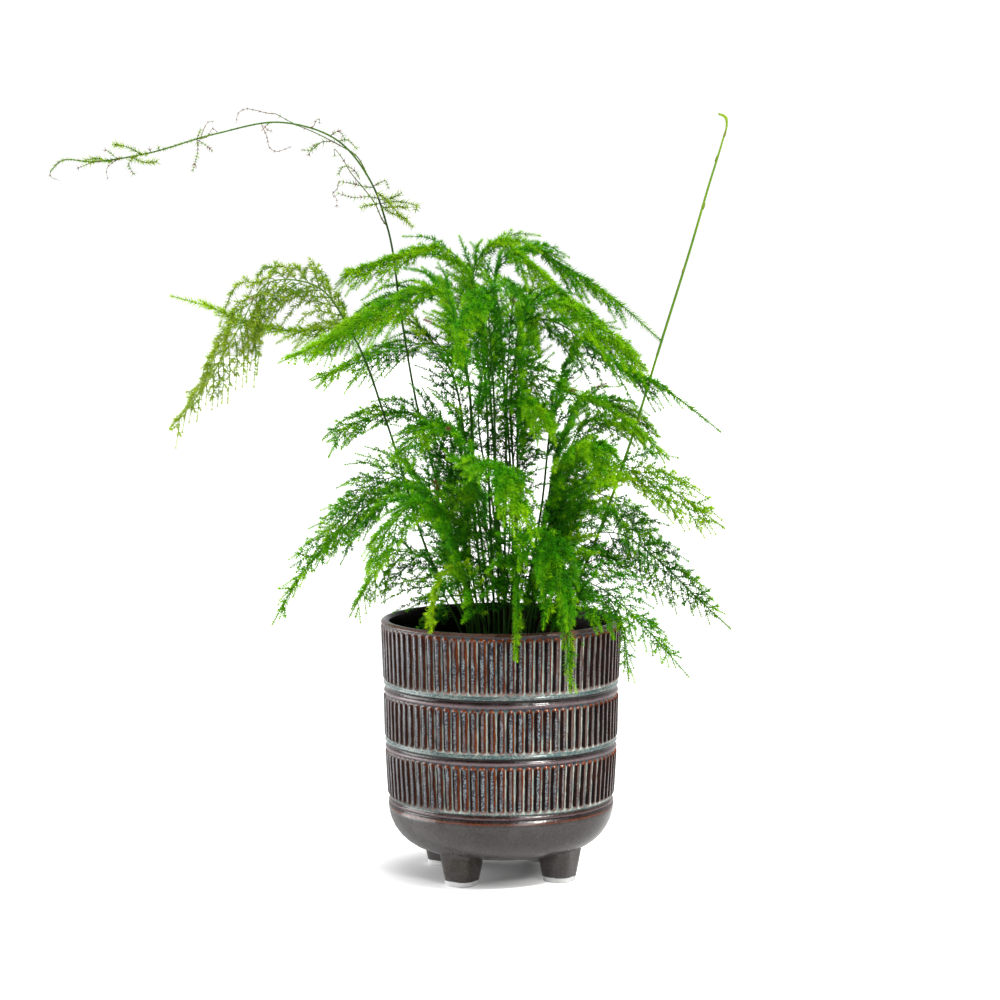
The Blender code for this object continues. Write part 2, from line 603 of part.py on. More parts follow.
def plan_twig(line, radius_at, plain, whorls):
    """The rings, needle tips and end point of a twig, worked out before any mesh is made."""
    rings = []
    needles = []
    centres = []
    across = line.direction(0).orthogonal().normalized()
    before = line.direction(0)
    for distance, starts_whorl in rings_along(plain, whorls):
        radius = radius_at(distance)
        along = line.direction(distance)
        across = (before.rotation_difference(along) @ across).normalized()
        before = along
        if starts_whorl:
            across = Quaternion(along, WHORL_TURN) @ across
        centre = line.at(distance)
        corners = [
            centre + radius * (Quaternion(along, math.tau * side / STEM_SIDES) @ across)
            for side in range(STEM_SIDES)
        ]
        rings.append((corners, starts_whorl))
        centres.append(centre)
        if not starts_whorl:
            continue
        last = distance > line.length - WHORL_SPACING
        length = NEEDLE_LENGTH * (TIP_NEEDLE_SHARE if last else 1)
        for side in range(STEM_SIDES):
            out = Quaternion(along, math.tau * (side + 0.5) / STEM_SIDES) @ across
            root = centre + along * (NEEDLE_BASE / 2) + out * radius / 2
            tip = root + length * (out * math.sin(NEEDLE_LEAN) + along * math.cos(NEEDLE_LEAN))
            needles.append((root, tip))
    return dict(rings=rings, needles=needles, spine=Line([*centres, line.at(line.length)]), radius_at=radius_at)


def twig_bmesh(plan):
    """A closed twig with its needles drawn out of its own side faces."""
    bm = bmesh.new()
    rings = [[bm.verts.new(corner_point) for corner_point in corners] for corners, _ in plan["rings"]]
    bm.faces.new(rings[0])
    whorl_faces = []
    for (_, starts_whorl), low, high in zip(plan["rings"], rings, rings[1:]):
        for side in range(STEM_SIDES):
            follower = (side + 1) % STEM_SIDES
            face = bm.faces.new((low[side], low[follower], high[follower], high[side]))
            if starts_whorl:
                whorl_faces.append(face)
    tip = bm.verts.new(plan["spine"].points[-1])
    for side in range(STEM_SIDES):
        bm.faces.new((rings[-1][side], rings[-1][(side + 1) % STEM_SIDES], tip))
    if whorl_faces:
        raised = bmesh.ops.poke(bm, faces=whorl_faces)["verts"]
        for vertex in raised:
            vertex.co = min(plan["needles"], key=lambda needle: (needle[0] - vertex.co).length)[1]
    return bm


def capsules(plan):
    """The twig as (start, end, radius) rods, to measure clearance by."""
    points, marks = plan["spine"].points, plan["spine"].marks
    rods = [(a, b, plan["radius_at"](float(mark))) for a, b, mark in zip(points, points[1:], marks)]
    return rods + [(root, tip, NEEDLE_RADIUS) for root, tip in plan["needles"]]


def rod_table(rods):
    """Starts, ends and radii of rods, as three arrays."""
    return tuple(np.array([rod[column] for rod in rods]) for column in range(3))


def narrowest_gap(rods, others):
    """The smallest gap between two tables of rods."""
    a0, a1, ra = (column[:, None] for column in rods)
    b0, b1, rb = (column[None] for column in others)
    u, v, w = a1 - a0, b1 - b0, a0 - b0
    uu, uv, vv = (u * u).sum(-1), (u * v).sum(-1), (v * v).sum(-1)
    uw, vw = (u * w).sum(-1), (v * w).sum(-1)
    spread = np.maximum(uu * vv - uv * uv, SMALLEST_SPREAD)
    s = np.clip((uv * vw - vv * uw) / spread, 0, 1)
    t = np.clip((uv * s + vw) / vv, 0, 1)
    s = np.clip((uv * t - uw) / uu, 0, 1)
    apart = w + s[..., None] * u - t[..., None] * v
    return float((np.sqrt((apart * apart).sum(-1)) - ra - rb).min())


def twig_whorls(length, count=None):
    """Where the needles stand on a twig, counted back from its tip."""
    places = []
    place = length - WHORL_FROM_TIP
    while place > WHORL_FROM_ROOT and (count is None or len(places) < count):
        places.append(place)
        place -= WHORL_SPACING
    return places[::-1]


def twig_radius(distance):
    """Thin where it is rooted in the stem, full thickness soon after."""
    share = min(1, distance / TWIG_SWELL)
    return TWIG_ROOT_RADIUS + (TWIG_RADIUS - TWIG_ROOT_RADIUS) * share


def plan_stem(frond):
    line = stem_line(frond)

    def radius_at(distance):
        return STEM_RADIUS + (RACHIS_END_RADIUS - STEM_RADIUS) * distance / line.length

    whorls = [] if frond["kind"] == "shoot" else twig_whorls(line.length, RACHIS_WHORLS)
    above_soil = float(line.marks[1])
    return plan_twig(line, radius_at, [0, *places_by_bend(line, above_soil)], whorls)


def plan_side_twig(points, direction):
    line = Line(smooth_curve(points, direction))
    return plan_twig(line, twig_radius, [0], twig_whorls(line.length))


def branch_length(frond, share):
    """How far a branch reaches: nearly the longest at the frond's base, and short at its tip."""
    widening = BASE_SHARE + (1 - BASE_SHARE) * min(1, share / WIDEST_AT)
    return max(SHORTEST_BRANCH, frond["reach"] * widening * (1 - share) ** TAPER)


def plan_branch(frond, rachis, share, side, lift, length):
    """A branch leaves the rachis sideways, bends forward and droops a little."""
    start = rachis.length * (frond["bare"] + (1 - frond["bare"]) * share)
    along = rachis.direction(start)
    level = along.cross(Vector((0, 0, 1))).normalized() * side
    up = level.cross(along).normalized() * side
    angle = BRANCH_ANGLE[0] + (BRANCH_ANGLE[1] - BRANCH_ANGLE[0]) * share
    away = Quaternion(along, lift * side) @ level
    outward = along * math.cos(angle) + away * math.sin(angle)
    onward = (outward + along * BRANCH_FORWARD).normalized()
    root = rachis.at(start)
    middle = root + outward * length / 2 + up * BRANCH_DROOP * length / 8
    end = middle + onward * length / 2 - Vector((0, 0, BRANCH_DROOP * length))
    return plan_side_twig([root, middle, end], outward)


def clear_branch(frond, rachis, share, side, wiggle, others):
    """The first of several lifts and lengths that keeps a branch clear of every other frond, or nothing."""
    full = branch_length(frond, share) * wiggle
    for part in SHARES:
        for lift in LIFTS:
            plan = plan_branch(frond, rachis, share, side, math.radians(lift), full * part)
            if narrowest_gap(rod_table(capsules(plan)), others) > CLEARANCE:
                return plan
    return None


def plan_branches(name, frond, rachis, others):
    dice = random.Random(name)
    plans = []
    for number in range(frond["branches"]):
        share = (number + FIRST_BRANCH) / frond["branches"]
        side = 1 if number % 2 else -1
        wiggle = 1 + dice.uniform(-BRANCH_JITTER, BRANCH_JITTER)
        plans.append(clear_branch(frond, rachis, share, side, wiggle, others))
    if name == "stem_arching":
        for route in ARCHING_TWIGS:
            root = rachis.nearest(Vector(route[0]))
            plans.append(plan_side_twig([root, *route[1:]], Vector(route[1]) - root))
    return [plan for plan in plans if plan]


def make_fronds():
    """All stems are laid out first, then each frond's branches, clear of everything that is already there."""
    stems = {name: plan_stem(frond) for name, frond in FRONDS.items()}
    taken = {name: capsules(plan) for name, plan in stems.items()}
    fronds = {}
    for name, frond in FRONDS.items():
        others = [rod for other, rods in taken.items() if other != name for rod in rods]
        plans = plan_branches(name, frond, stems[name]["spine"], rod_table(others))
        for plan in plans:
            taken[name].extend(capsules(plan))
        piece = object_from(twig_bmesh(stems[name]), name)
        if plans:
            twigs = helpers("twigs")
            for plan in plans:
                object_from(twig_bmesh(plan), "twig", twigs)
            combine(piece, twigs, "UNION", "MANIFOLD")
            keep_largest_shell(piece)
        fronds[name] = piece
    return fronds


def move_origin_under_middle(pieces):
    """Moves every piece together, so that the origin is at the bottom middle of the whole plant's box."""
    corners = np.array([vertex.co for piece in pieces for vertex in piece.data.vertices])
    middle = (corners.min(axis=0) + corners.max(axis=0)) / 2
    shift = Matrix.Translation((-middle[0], -middle[1], -corners[:, 2].min()))
    for piece in pieces:
        piece.data.transform(shift)


def finish(piece, material):
    piece.data.materials.clear()
    piece.data.materials.append(material)
    piece.data.shade_smooth()
    piece.data.set_sharp_from_angle(angle=SHARP_ANGLE)


def main():
    clear_scene()
    materials = {name: principled(name) for name in MATERIALS}
    pot = make_pot()
    soil = make_soil()
    fronds = make_fronds()
    move_origin_under_middle([pot, soil, *fronds.values()])
    finish(pot, materials["glaze"])
    finish(soil, materials["soil"])
    for name, piece in fronds.items():
        finish(piece, materials[FRONDS[name]["kind"]])


main()
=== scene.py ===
# %% [markdown]
# # A potted asparagus fern
#
# An asparagus fern is not a fern. Its "leaves" are bristles three to five millimetres long, set in little
# whorls on feathery sprays, and each spray hangs at the end of a stem as thin as wire. This lesson dresses
# a measured model of one in its real surface: a ribbed pot in a glaze that breaks brown on every edge,
# crumbly soil, and nearly two hundred thousand needles. The measured model comes first, because every piece
# is placed on it.

# %% Load the measured plant
import json
import math
import random

import bpy
import numpy as np
from mathutils import Matrix, Quaternion, Vector, noise

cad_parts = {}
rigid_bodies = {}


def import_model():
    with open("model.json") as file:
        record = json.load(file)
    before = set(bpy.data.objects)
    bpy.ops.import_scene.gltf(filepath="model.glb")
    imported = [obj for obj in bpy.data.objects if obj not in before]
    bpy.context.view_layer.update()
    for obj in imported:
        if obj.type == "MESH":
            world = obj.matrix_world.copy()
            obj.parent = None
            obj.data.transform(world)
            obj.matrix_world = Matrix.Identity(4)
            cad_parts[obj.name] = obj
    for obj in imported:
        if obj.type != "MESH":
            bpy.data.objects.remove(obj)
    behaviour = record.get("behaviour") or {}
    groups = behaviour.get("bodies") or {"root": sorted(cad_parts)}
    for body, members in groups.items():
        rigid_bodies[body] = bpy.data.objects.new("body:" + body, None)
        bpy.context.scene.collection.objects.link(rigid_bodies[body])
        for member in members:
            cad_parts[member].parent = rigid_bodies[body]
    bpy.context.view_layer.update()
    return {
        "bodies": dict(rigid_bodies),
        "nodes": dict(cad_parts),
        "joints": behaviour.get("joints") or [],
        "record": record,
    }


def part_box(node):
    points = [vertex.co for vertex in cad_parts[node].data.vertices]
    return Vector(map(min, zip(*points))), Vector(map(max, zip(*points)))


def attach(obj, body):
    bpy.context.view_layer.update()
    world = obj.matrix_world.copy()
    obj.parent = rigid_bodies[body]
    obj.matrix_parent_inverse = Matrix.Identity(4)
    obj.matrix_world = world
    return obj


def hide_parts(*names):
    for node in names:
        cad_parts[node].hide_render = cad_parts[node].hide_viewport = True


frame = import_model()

pot_low, pot_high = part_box("pot")
AXIS = Vector(((pot_low.x + pot_high.x) / 2, (pot_low.y + pot_high.y) / 2, 0))
POT_HEIGHT = pot_high.z
print("the pot's axis stands at", [round(value, 4) for value in AXIS], "and its rim at", round(POT_HEIGHT, 4))

# %% [markdown]
# ## Helpers
#
# Two kinds of small functions come back all through the lesson. The first start every operator from an
# empty selection and name what it made. The others add shader nodes, each joined to the ones before it,
# because a material is easier to follow when it reads like a sum than when every link has a line of its
# own.

# %% Selecting and naming
def deselect_everything():
    """Every operator works on what is selected, so each piece starts from nothing."""
    if bpy.context.object and bpy.context.object.mode != "OBJECT":
        bpy.ops.object.mode_set(mode="OBJECT")
    bpy.ops.object.select_all(action="DESELECT")


def named(name):
    """Names the object that the last operator made, and its mesh."""
    thing = bpy.context.object
    thing.name = name
    if thing.data:
        thing.data.name = name
    return thing


# %% Wiring shader nodes
def wire(tree, kind, settings=None, **sockets):
    """Adds one node. A socket's value is a number, a colour, or the output of another node to join to it."""
    node = tree.nodes.new(kind)
    for name, value in (settings or {}).items():
        setattr(node, name, value)
    for name, value in sockets.items():
        socket = node.inputs[int(name[1:])] if name[0] == "_" else node.inputs[name.replace("_", " ")]
        if isinstance(value, bpy.types.NodeSocket):
            tree.links.new(value, socket)
        else:
            socket.default_value = value
    return node


def ramp(tree, share, stops):
    """A colour ramp with its stops given as (place, colour)."""
    node = wire(tree, "ShaderNodeValToRGB", Fac=share)
    while len(node.color_ramp.elements) < len(stops):
        node.color_ramp.elements.new(0.5)
    for element, (place, colour) in zip(node.color_ramp.elements, sorted(stops)):
        element.position = place
        element.color = (*colour, 1)
    return node.outputs["Color"]


def blend(tree, share, first, second):
    """Mixes two colours."""
    node = tree.nodes.new("ShaderNodeMix")
    node.data_type = "RGBA"
    for socket, value in ((node.inputs[0], share), (node.inputs[6], first), (node.inputs[7], second)):
        if isinstance(value, bpy.types.NodeSocket):
            tree.links.new(value, socket)
        else:
            socket.default_value = value if isinstance(value, (int, float)) else (*value, 1)[:4]
    return node.outputs[2]


def reckon(tree, operation, first, second=0.0, clamp=False):
    node = wire(tree, "ShaderNodeMath", dict(operation=operation, use_clamp=clamp), _0=first, _1=second)
    return node.outputs[0]


def spread(tree, value, from_low, from_high, to_low=0.0, to_high=1.0):
    """Stretches a range of values onto another, and stops at its ends."""
    node = wire(tree, "ShaderNodeMapRange", Value=value, From_Min=from_low, From_Max=from_high,
                To_Min=to_low, To_Max=to_high)
    return node.outputs["Result"]


def times(tree, first, second):
    return reckon(tree, "MULTIPLY", first, second)


def noise_at(tree, place, size, detail, roughness=0.5):
    """Soft noise from nought to one, mostly near a half. A high size gives fine noise."""
    node = wire(tree, "ShaderNodeTexNoise", Vector=place, Scale=size, Detail=detail, Roughness=roughness)
    return node.outputs["Fac"]


def attribute(tree, name):
    return wire(tree, "ShaderNodeAttribute", dict(attribute_name=name)).outputs["Fac"]


def new_group(name, inputs, outputs):
    """An empty node group with named sockets, given as name and kind."""
    group = bpy.data.node_groups.new(name, "ShaderNodeTree")
    for direction, sockets in (("INPUT", inputs), ("OUTPUT", outputs)):
        for socket_name, kind in sockets.items():
            group.interface.new_socket(name=socket_name, in_out=direction, socket_type="NodeSocket" + kind)
    return group, group.nodes.new("NodeGroupInput"), group.nodes.new("NodeGroupOutput")


def use_group(tree, group, **sockets):
    return wire(tree, "ShaderNodeGroup", dict(node_tree=group), **sockets).outputs[0]


def new_material(name, roughness):
    material = bpy.data.materials.new(name)
    material.use_nodes = True
    shader = material.node_tree.nodes["Principled BSDF"]
    shader.inputs["Roughness"].default_value = roughness
    return material, material.node_tree, shader


def place_on_plant(tree, scale=(1, 1, 1)):
    """Object coordinates, centred on the pot's axis and stretched."""
    coordinates = wire(tree, "ShaderNodeTexCoord").outputs["Object"]
    shift = tuple(-value * size for value, size in zip(AXIS, scale))
    return wire(tree, "ShaderNodeMapping", Vector=coordinates, Location=shift, Scale=scale).outputs[0]


print("shader helpers are ready")

# %% [markdown]
# ## The camera
#
# A product photographer stands well back with a long lens, so that the rim of the pot is only a thin
# ellipse. The camera here stands 1.78 metres from the pot, a quarter of a metre above its rim, and looks
# down five and a half degrees. It could be aimed with a constraint, but plain numbers are easier to compare
# with the photograph.

# %% The camera
CAMERA_DISTANCE = 1.780
CAMERA_HEIGHT = 0.406
CAMERA_PITCH = math.radians(5.5)
LENS = 103.7  # millimetres, on a sensor 36 mm wide
SIDEWAYS_SHIFT = -0.001  # the pot stands a hair right of the middle

bpy.ops.object.camera_add(
    location=(AXIS.x, AXIS.y - CAMERA_DISTANCE, CAMERA_HEIGHT),
    rotation=(math.pi / 2 - CAMERA_PITCH, 0, 0),
)
camera = bpy.context.object
camera.name = "camera"
camera.data.lens = LENS
camera.data.shift_x = SIDEWAYS_SHIFT
bpy.context.scene.camera = camera
print("the camera stands", CAMERA_DISTANCE, "m from the pot's axis")

# %% [markdown]
# ## Table, light and background
#
# The plant stands on a white table in front of a white wall, both lit past white, so only the shadow right
# under the pot is darker. A table that glows a little does this, as a lightbox does, but its glow is only
# for the camera: light from below would take the shade out of the foliage. One big sun-like lamp from the
# upper right gives the needles their lit and dark sides, and two soft boxes are there for the glaze to
# reflect.

# %% The table
TABLE_SIZE = 14.0
TABLE_GLOW = 0.75
TABLE_WHITE = (0.80, 0.80, 0.80, 1)
TABLE_ROUGHNESS = 0.6
GLOW_COLOUR = (1, 0.99, 0.98, 1)
# The glow is painted light for the camera only: it whitens the table and the plant's cast shadows on it, and
# fades out round the place under the pot, where the rendered shadow shows
DIM_PATCH = (0.035, 0.082)  # radii between which the glow comes up, round the place under the pot
DIM_PATCH_SHIFT = (0.018, -0.010, 0)  # moves the patch a little to the left, away from the light

table_white, tree, shader = new_material("table_white", TABLE_ROUGHNESS)
shader.inputs["Base Color"].default_value = TABLE_WHITE
shader.inputs["Emission Color"].default_value = GLOW_COLOUR
place = wire(tree, "ShaderNodeTexCoord").outputs["Object"]
place = wire(tree, "ShaderNodeMapping", Vector=place, Location=DIM_PATCH_SHIFT).outputs[0]
away = wire(tree, "ShaderNodeVectorMath", dict(operation="LENGTH"), _0=place).outputs["Value"]
glow = wire(tree, "ShaderNodeMapRange", dict(interpolation_type="SMOOTHSTEP"), Value=away,
            From_Min=DIM_PATCH[0], From_Max=DIM_PATCH[1], To_Min=0.0, To_Max=TABLE_GLOW).outputs["Result"]
seen = wire(tree, "ShaderNodeLightPath").outputs["Is Camera Ray"]
tree.links.new(times(tree, glow, seen), shader.inputs["Emission Strength"])

deselect_everything()
bpy.ops.mesh.primitive_plane_add(size=TABLE_SIZE, location=(AXIS.x, AXIS.y, 0))
table = named("table")
table.data.materials.append(table_white)
print("a table of", TABLE_SIZE, "m")

# %% The room's light
ROOM_IN_FRONT = 0.14
ROOM_BEHIND = 0.85
ROOM_RISES = (-0.5, 0.7)  # between these directions along Y the light rises
ROOM_COLOUR = (0.98, 0.99, 1, 1)
WALL_WHITE = 1.05

world = bpy.data.worlds.new("white_room")
bpy.context.scene.world = world
world.use_nodes = True
tree = world.node_tree
tree.nodes.clear()
direction = wire(tree, "ShaderNodeTexCoord").outputs["Generated"]
behind = wire(tree, "ShaderNodeSeparateXYZ", _0=direction).outputs["Y"]
strength = spread(tree, behind, *ROOM_RISES, ROOM_IN_FRONT, ROOM_BEHIND)
room = wire(tree, "ShaderNodeBackground", Color=ROOM_COLOUR, Strength=strength).outputs[0]
wall = wire(tree, "ShaderNodeBackground", Color=(1, 1, 1, 1), Strength=WALL_WHITE).outputs[0]
seen = wire(tree, "ShaderNodeLightPath").outputs["Is Camera Ray"]
choose = wire(tree, "ShaderNodeMixShader", _0=seen, _1=room, _2=wall).outputs[0]
wire(tree, "ShaderNodeOutputWorld", _0=choose)
print("room light from", ROOM_IN_FRONT, "in front to", ROOM_BEHIND, "behind")

# %% The lamps
def aim(lamp, target):
    lamp.rotation_euler = (Vector(target) - lamp.location).to_track_quat("-Z", "Y").to_euler()


SUN_STRENGTH = 3.7
SUN_PLACE = (0.9, -0.75, 1.5)  # from the pot: right, in front and above
deselect_everything()
bpy.ops.object.light_add(type="SUN", location=AXIS + Vector(SUN_PLACE))
sun = named("sun")
sun.data.energy = SUN_STRENGTH
sun.data.angle = math.radians(5)
sun.data.color = (1, 0.985, 0.95)
aim(sun, AXIS)

SOFT_BOXES = {
    "left_soft_box": dict(place=(-1.30, 0.10, 0.35), size=1.0, energy=26),
    "right_soft_box": dict(place=(0.55, -1.20, 0.85), size=0.22, energy=7),
}
for box_name, box in SOFT_BOXES.items():
    bpy.ops.object.light_add(type="AREA", location=AXIS + Vector(box["place"]))
    soft_box = named(box_name)
    soft_box.data.size = box["size"]
    soft_box.data.energy = box["energy"]
    aim(soft_box, AXIS + Vector((0, 0, POT_HEIGHT / 2)))

bpy.context.scene.view_settings.view_transform = "Standard"
print("one sun and", len(SOFT_BOXES), "soft boxes")

# %% [markdown]
# ## The pot
#
# The real pot is turned, ribbed and glazed, and its four feet are pressed on while the clay is soft. The
# same order works here. Its outline is drawn once, one point after another, and spun round the axis into a
# wall of 640 columns. The ribs are then raised by a formula, eight columns to a rib, because a formula
# keeps eighty of them even. A cheaper way would be a bump map, but then the outline of the pot would stay
# smooth, which it is not.

# %% The outline of the pot
WALL = 0.0055
OUTSIDE = ((0.046, 0.0705), (0.084, 0.0727), (0.119, 0.0735), (POT_HEIGHT, 0.0750))  # height and outer radius
INSIDE_TOP_RADIUS = 0.0695
CORNER_RADIUS = 0.029
CORNER_HEIGHT = 0.046
LIP_DROP = 0.0022
INNER_RING = 0.021  # a ring of points under the floor, inside the feet
RIBS = 80
COLUMNS = 8 * RIBS
RIB_DEPTH = 0.0014
RIB_BANDS = ((0.1586, 0.1226), (0.1150, 0.0868), (0.0801, 0.0503))  # top and bottom of each band
# Height and depth of the turned lines between the bands: a bead, a groove and a bead
TURNED_LINES = (
    (0.1602, 0.0), (0.1592, 0.0), (0.1586, 0.0013), (0.1226, 0.0013), (0.1221, 0.0009), (0.1213, 0.0002),
    (0.1205, 0.0006), (0.1199, 0.0019), (0.1184, 0.0019), (0.1176, 0.0007), (0.1164, 0.0001),
    (0.1154, 0.0008), (0.1150, 0.0013), (0.0868, 0.0013), (0.0863, 0.0009), (0.0856, 0.0002),
    (0.0849, 0.0006), (0.0843, 0.0019), (0.0830, 0.0019), (0.0823, 0.0007), (0.0813, 0.0001),
    (0.0804, 0.0008), (0.0800, 0.0013), (0.0504, 0.0013), (0.0500, 0.0015), (0.0494, 0.0016),
    (0.0487, 0.0007), (0.0476, 0.0002), (0.0467, 0.0010), (0.0462, 0.0013), (0.0455, 0.0005), (0.0446, 0.0),
)
line_heights, line_depths = (np.array(column[::-1]) for column in zip(*TURNED_LINES))


def wall_radius(height):
    heights, radii = zip(*OUTSIDE)
    return float(np.interp(height, heights, radii))


def turned_depth(height):
    """How far a turned line cuts into the wall, eased between the listed depths."""
    place = np.clip(np.searchsorted(line_heights, height), 1, len(line_heights) - 1)
    low, high = line_heights[place - 1], line_heights[place]
    share = np.clip((height - low) / (high - low), 0, 1)
    share = share * share * (3 - 2 * share)
    return line_depths[place - 1] + (line_depths[place] - line_depths[place - 1]) * share


print(len(RIB_BANDS), "bands of", RIBS, "ribs, and", len(TURNED_LINES), "heights for the turned lines")


# %% Every point of the outline
def round_corner(inset, steps):
    """The corner from the wall in to the flat of the floor, set in by a wall's thickness or by nothing."""
    centre = wall_radius(CORNER_HEIGHT) - CORNER_RADIUS
    radius = CORNER_RADIUS - inset
    angles = np.linspace(0, math.pi / 2, steps + 1)
    return [(centre + radius * math.cos(a), CORNER_HEIGHT - radius * math.sin(a)) for a in angles]


def outer_heights():
    """Close together where the wall is cut, and far apart where the ribs run straight."""
    heights = set(line_heights.tolist())
    for upper, lower in zip(TURNED_LINES, TURNED_LINES[1:]):
        if 0.0009 < upper[0] - lower[0] < 0.003:
            heights.add((upper[0] + lower[0]) / 2)
    for top, bottom in RIB_BANDS:
        for step in (0.0005, 0.0011, 0.0018, 0.0028):
            heights |= {top - step, bottom + step}
        heights.add((top + bottom) / 2)
    return sorted((height for height in heights if height > CORNER_HEIGHT), reverse=True)


def pot_outline():
    lip_middle = (INSIDE_TOP_RADIUS + wall_radius(POT_HEIGHT)) / 2
    half_lip = wall_radius(POT_HEIGHT) - lip_middle
    floor = CORNER_HEIGHT - CORNER_RADIUS
    inside = [(0, floor + WALL)] + round_corner(WALL, 3)[::-1]
    low, high = inside[-1], (INSIDE_TOP_RADIUS, POT_HEIGHT - LIP_DROP)
    inside += [tuple(a + (b - a) * share for a, b in zip(low, high)) for share in (0.6, 0.9)]
    lip = [(lip_middle - half_lip * math.cos(a), POT_HEIGHT - LIP_DROP + LIP_DROP * math.sin(a))
           for a in np.linspace(0, math.pi, 8)]
    wall = [(wall_radius(height) - turned_depth(height), height) for height in outer_heights()
            if height < POT_HEIGHT - LIP_DROP]
    outside = round_corner(0, 9) + [(INNER_RING, floor), (0, floor)]
    return inside + lip + wall + outside


outline = pot_outline()
print(len(outline), "points on the outline")


# %% Turning
def turned(name, points, columns):
    """Draws an outline of (radius, height) points at the pot's axis and turns it into a closed body."""
    deselect_everything()
    bpy.ops.mesh.primitive_plane_add(size=0.001, location=AXIS + Vector((points[0][0], 0, points[0][1])))
    bpy.ops.object.mode_set(mode="EDIT")
    bpy.ops.mesh.select_mode(type="VERT")
    bpy.ops.mesh.select_all(action="SELECT")
    bpy.ops.mesh.merge(type="CENTER")
    for (radius, height), (next_radius, next_height) in zip(points, points[1:]):
        step = (next_radius - radius, 0, next_height - height)
        bpy.ops.mesh.extrude_region_move(TRANSFORM_OT_translate={"value": step})
    bpy.ops.mesh.select_all(action="SELECT")
    bpy.ops.mesh.spin(steps=columns, angle=math.tau, center=AXIS, axis=(0, 0, 1))
    bpy.ops.mesh.select_all(action="SELECT")
    bpy.ops.mesh.remove_doubles(threshold=0.00001)
    bpy.ops.mesh.normals_make_consistent(inside=False)
    bpy.ops.object.mode_set(mode="OBJECT")
    thing = named(name)
    bpy.ops.object.transform_apply(location=True, rotation=True, scale=True)
    return thing


pot = turned("glazed_pot", outline, COLUMNS)
print(pot.name, "is turned:", len(pot.data.vertices), "points")


# %% Raising the ribs
def points_of(thing):
    co = np.empty(len(thing.data.vertices) * 3)
    thing.data.vertices.foreach_get("co", co)
    return co.reshape(-1, 3)


def place_points(thing, co):
    thing.data.vertices.foreach_set("co", co.ravel())
    thing.data.update()


def round_the_axis(thing):
    """Its points from the pot's axis, with their angle, radius and whether they lie on the outside."""
    co = points_of(thing) - np.array(AXIS)
    angle, radius = np.arctan2(co[:, 1], co[:, 0]), np.hypot(co[:, 0], co[:, 1])
    return co, angle, radius, radius > np.interp(co[:, 2], *zip(*OUTSIDE)) - WALL / 2


PITCH = wall_radius(0.1) * math.tau / RIBS
RIB_FOOT = 0.92  # where a rib rises from its furrow, as a share of half a pitch
RIB_FLANK = 0.66  # how wide its rounded side is, in the same measure


def away_from_crest(angle, height, top, bottom):
    """Nought along the middle of a rib, one in the middle of the furrow beside it and at its round ends."""
    sideways = np.abs((angle * RIBS / math.tau + 0.5) % 1 - 0.5) * PITCH
    past_end = np.maximum(0, np.maximum(height - (top - PITCH / 2), (bottom + PITCH / 2) - height))
    return np.hypot(sideways, past_end) / (PITCH / 2)


def rib_crest(angle, height):
    """One on the crest of a rib, nought in the furrow beside it and past its round ends."""
    crest = np.zeros_like(height)
    for top, bottom in RIB_BANDS:
        rise = np.clip((RIB_FOOT - away_from_crest(angle, height, top, bottom)) / RIB_FLANK, 0, 1)
        crest = np.where((height < top) & (height > bottom), rise * rise * (3 - 2 * rise), crest)
    return crest


co, pot_angle, pot_radius, on_the_outside = round_the_axis(pot)
raised = rib_crest(pot_angle, co[:, 2]) * on_the_outside
lifted = 1 + raised * RIB_DEPTH / np.maximum(pot_radius, WALL)
co[:, :2] *= lifted[:, None]
place_points(pot, co + np.array(AXIS))
print("ribs raised by up to", round(float((raised * RIB_DEPTH).max()) * 1000, 2), "mm")

# %% [markdown]
# ## The feet
#
# Four stubby feet carry the pot, two of them on the camera's side. Each begins as a cube, is tapered, gets
# its corners rounded with a bevel, and is joined to the pot with a Boolean, so that pot and feet are one
# closed body, as they are in clay.

# %% Four feet
FOOT_SPREAD = 0.0433
FOOT_FIRST_ANGLE = math.radians(-123.7)
FOOT_COUNT = 4
FOOT_TOP_WIDTH = 0.024
FOOT_END_SHARE = 0.75  # the end's width against the top's
FOOT_HEIGHT = 0.0212
FOOT_ROUNDING = 0.0066
FOOT_EDGE = 0.0009


def edges_that(thing, wanted):
    """Selects in edit mode only the edges whose two ends pass the test."""
    mesh = thing.data
    bpy.ops.object.mode_set(mode="EDIT")
    bpy.ops.mesh.select_all(action="DESELECT")
    bpy.ops.object.mode_set(mode="OBJECT")
    for edge in mesh.edges:
        edge.select = wanted(*(mesh.vertices[end].co for end in edge.vertices))
    bpy.ops.object.mode_set(mode="EDIT")
    bpy.ops.mesh.select_mode(type="EDGE")


def foot(angle):
    deselect_everything()
    middle = Matrix.Rotation(angle, 3, "Z") @ Vector((FOOT_SPREAD, 0, 0))
    bpy.ops.mesh.primitive_cube_add(size=1, location=(0, 0, FOOT_HEIGHT / 2),
                                    scale=(FOOT_TOP_WIDTH, FOOT_TOP_WIDTH, FOOT_HEIGHT))
    piece = named("foot")
    bpy.ops.object.transform_apply(location=True, rotation=True, scale=True)
    edges_that(piece, lambda a, b: max(a.z, b.z) < FOOT_HEIGHT / 2)
    bpy.ops.transform.resize(value=(FOOT_END_SHARE, FOOT_END_SHARE, 1))
    bpy.ops.object.mode_set(mode="OBJECT")
    edges_that(piece, lambda a, b: abs(a.z - b.z) > FOOT_HEIGHT / 2)
    bpy.ops.mesh.bevel(offset=FOOT_ROUNDING, segments=6, affect="EDGES")
    bpy.ops.object.mode_set(mode="OBJECT")
    edges_that(piece, lambda a, b: max(a.z, b.z) < FOOT_EDGE)
    bpy.ops.mesh.bevel(offset=FOOT_EDGE, segments=3, affect="EDGES")
    bpy.ops.object.mode_set(mode="OBJECT")
    piece.data.transform(Matrix.Translation(AXIS + middle) @ Matrix.Rotation(angle, 4, "Z"))
    return piece


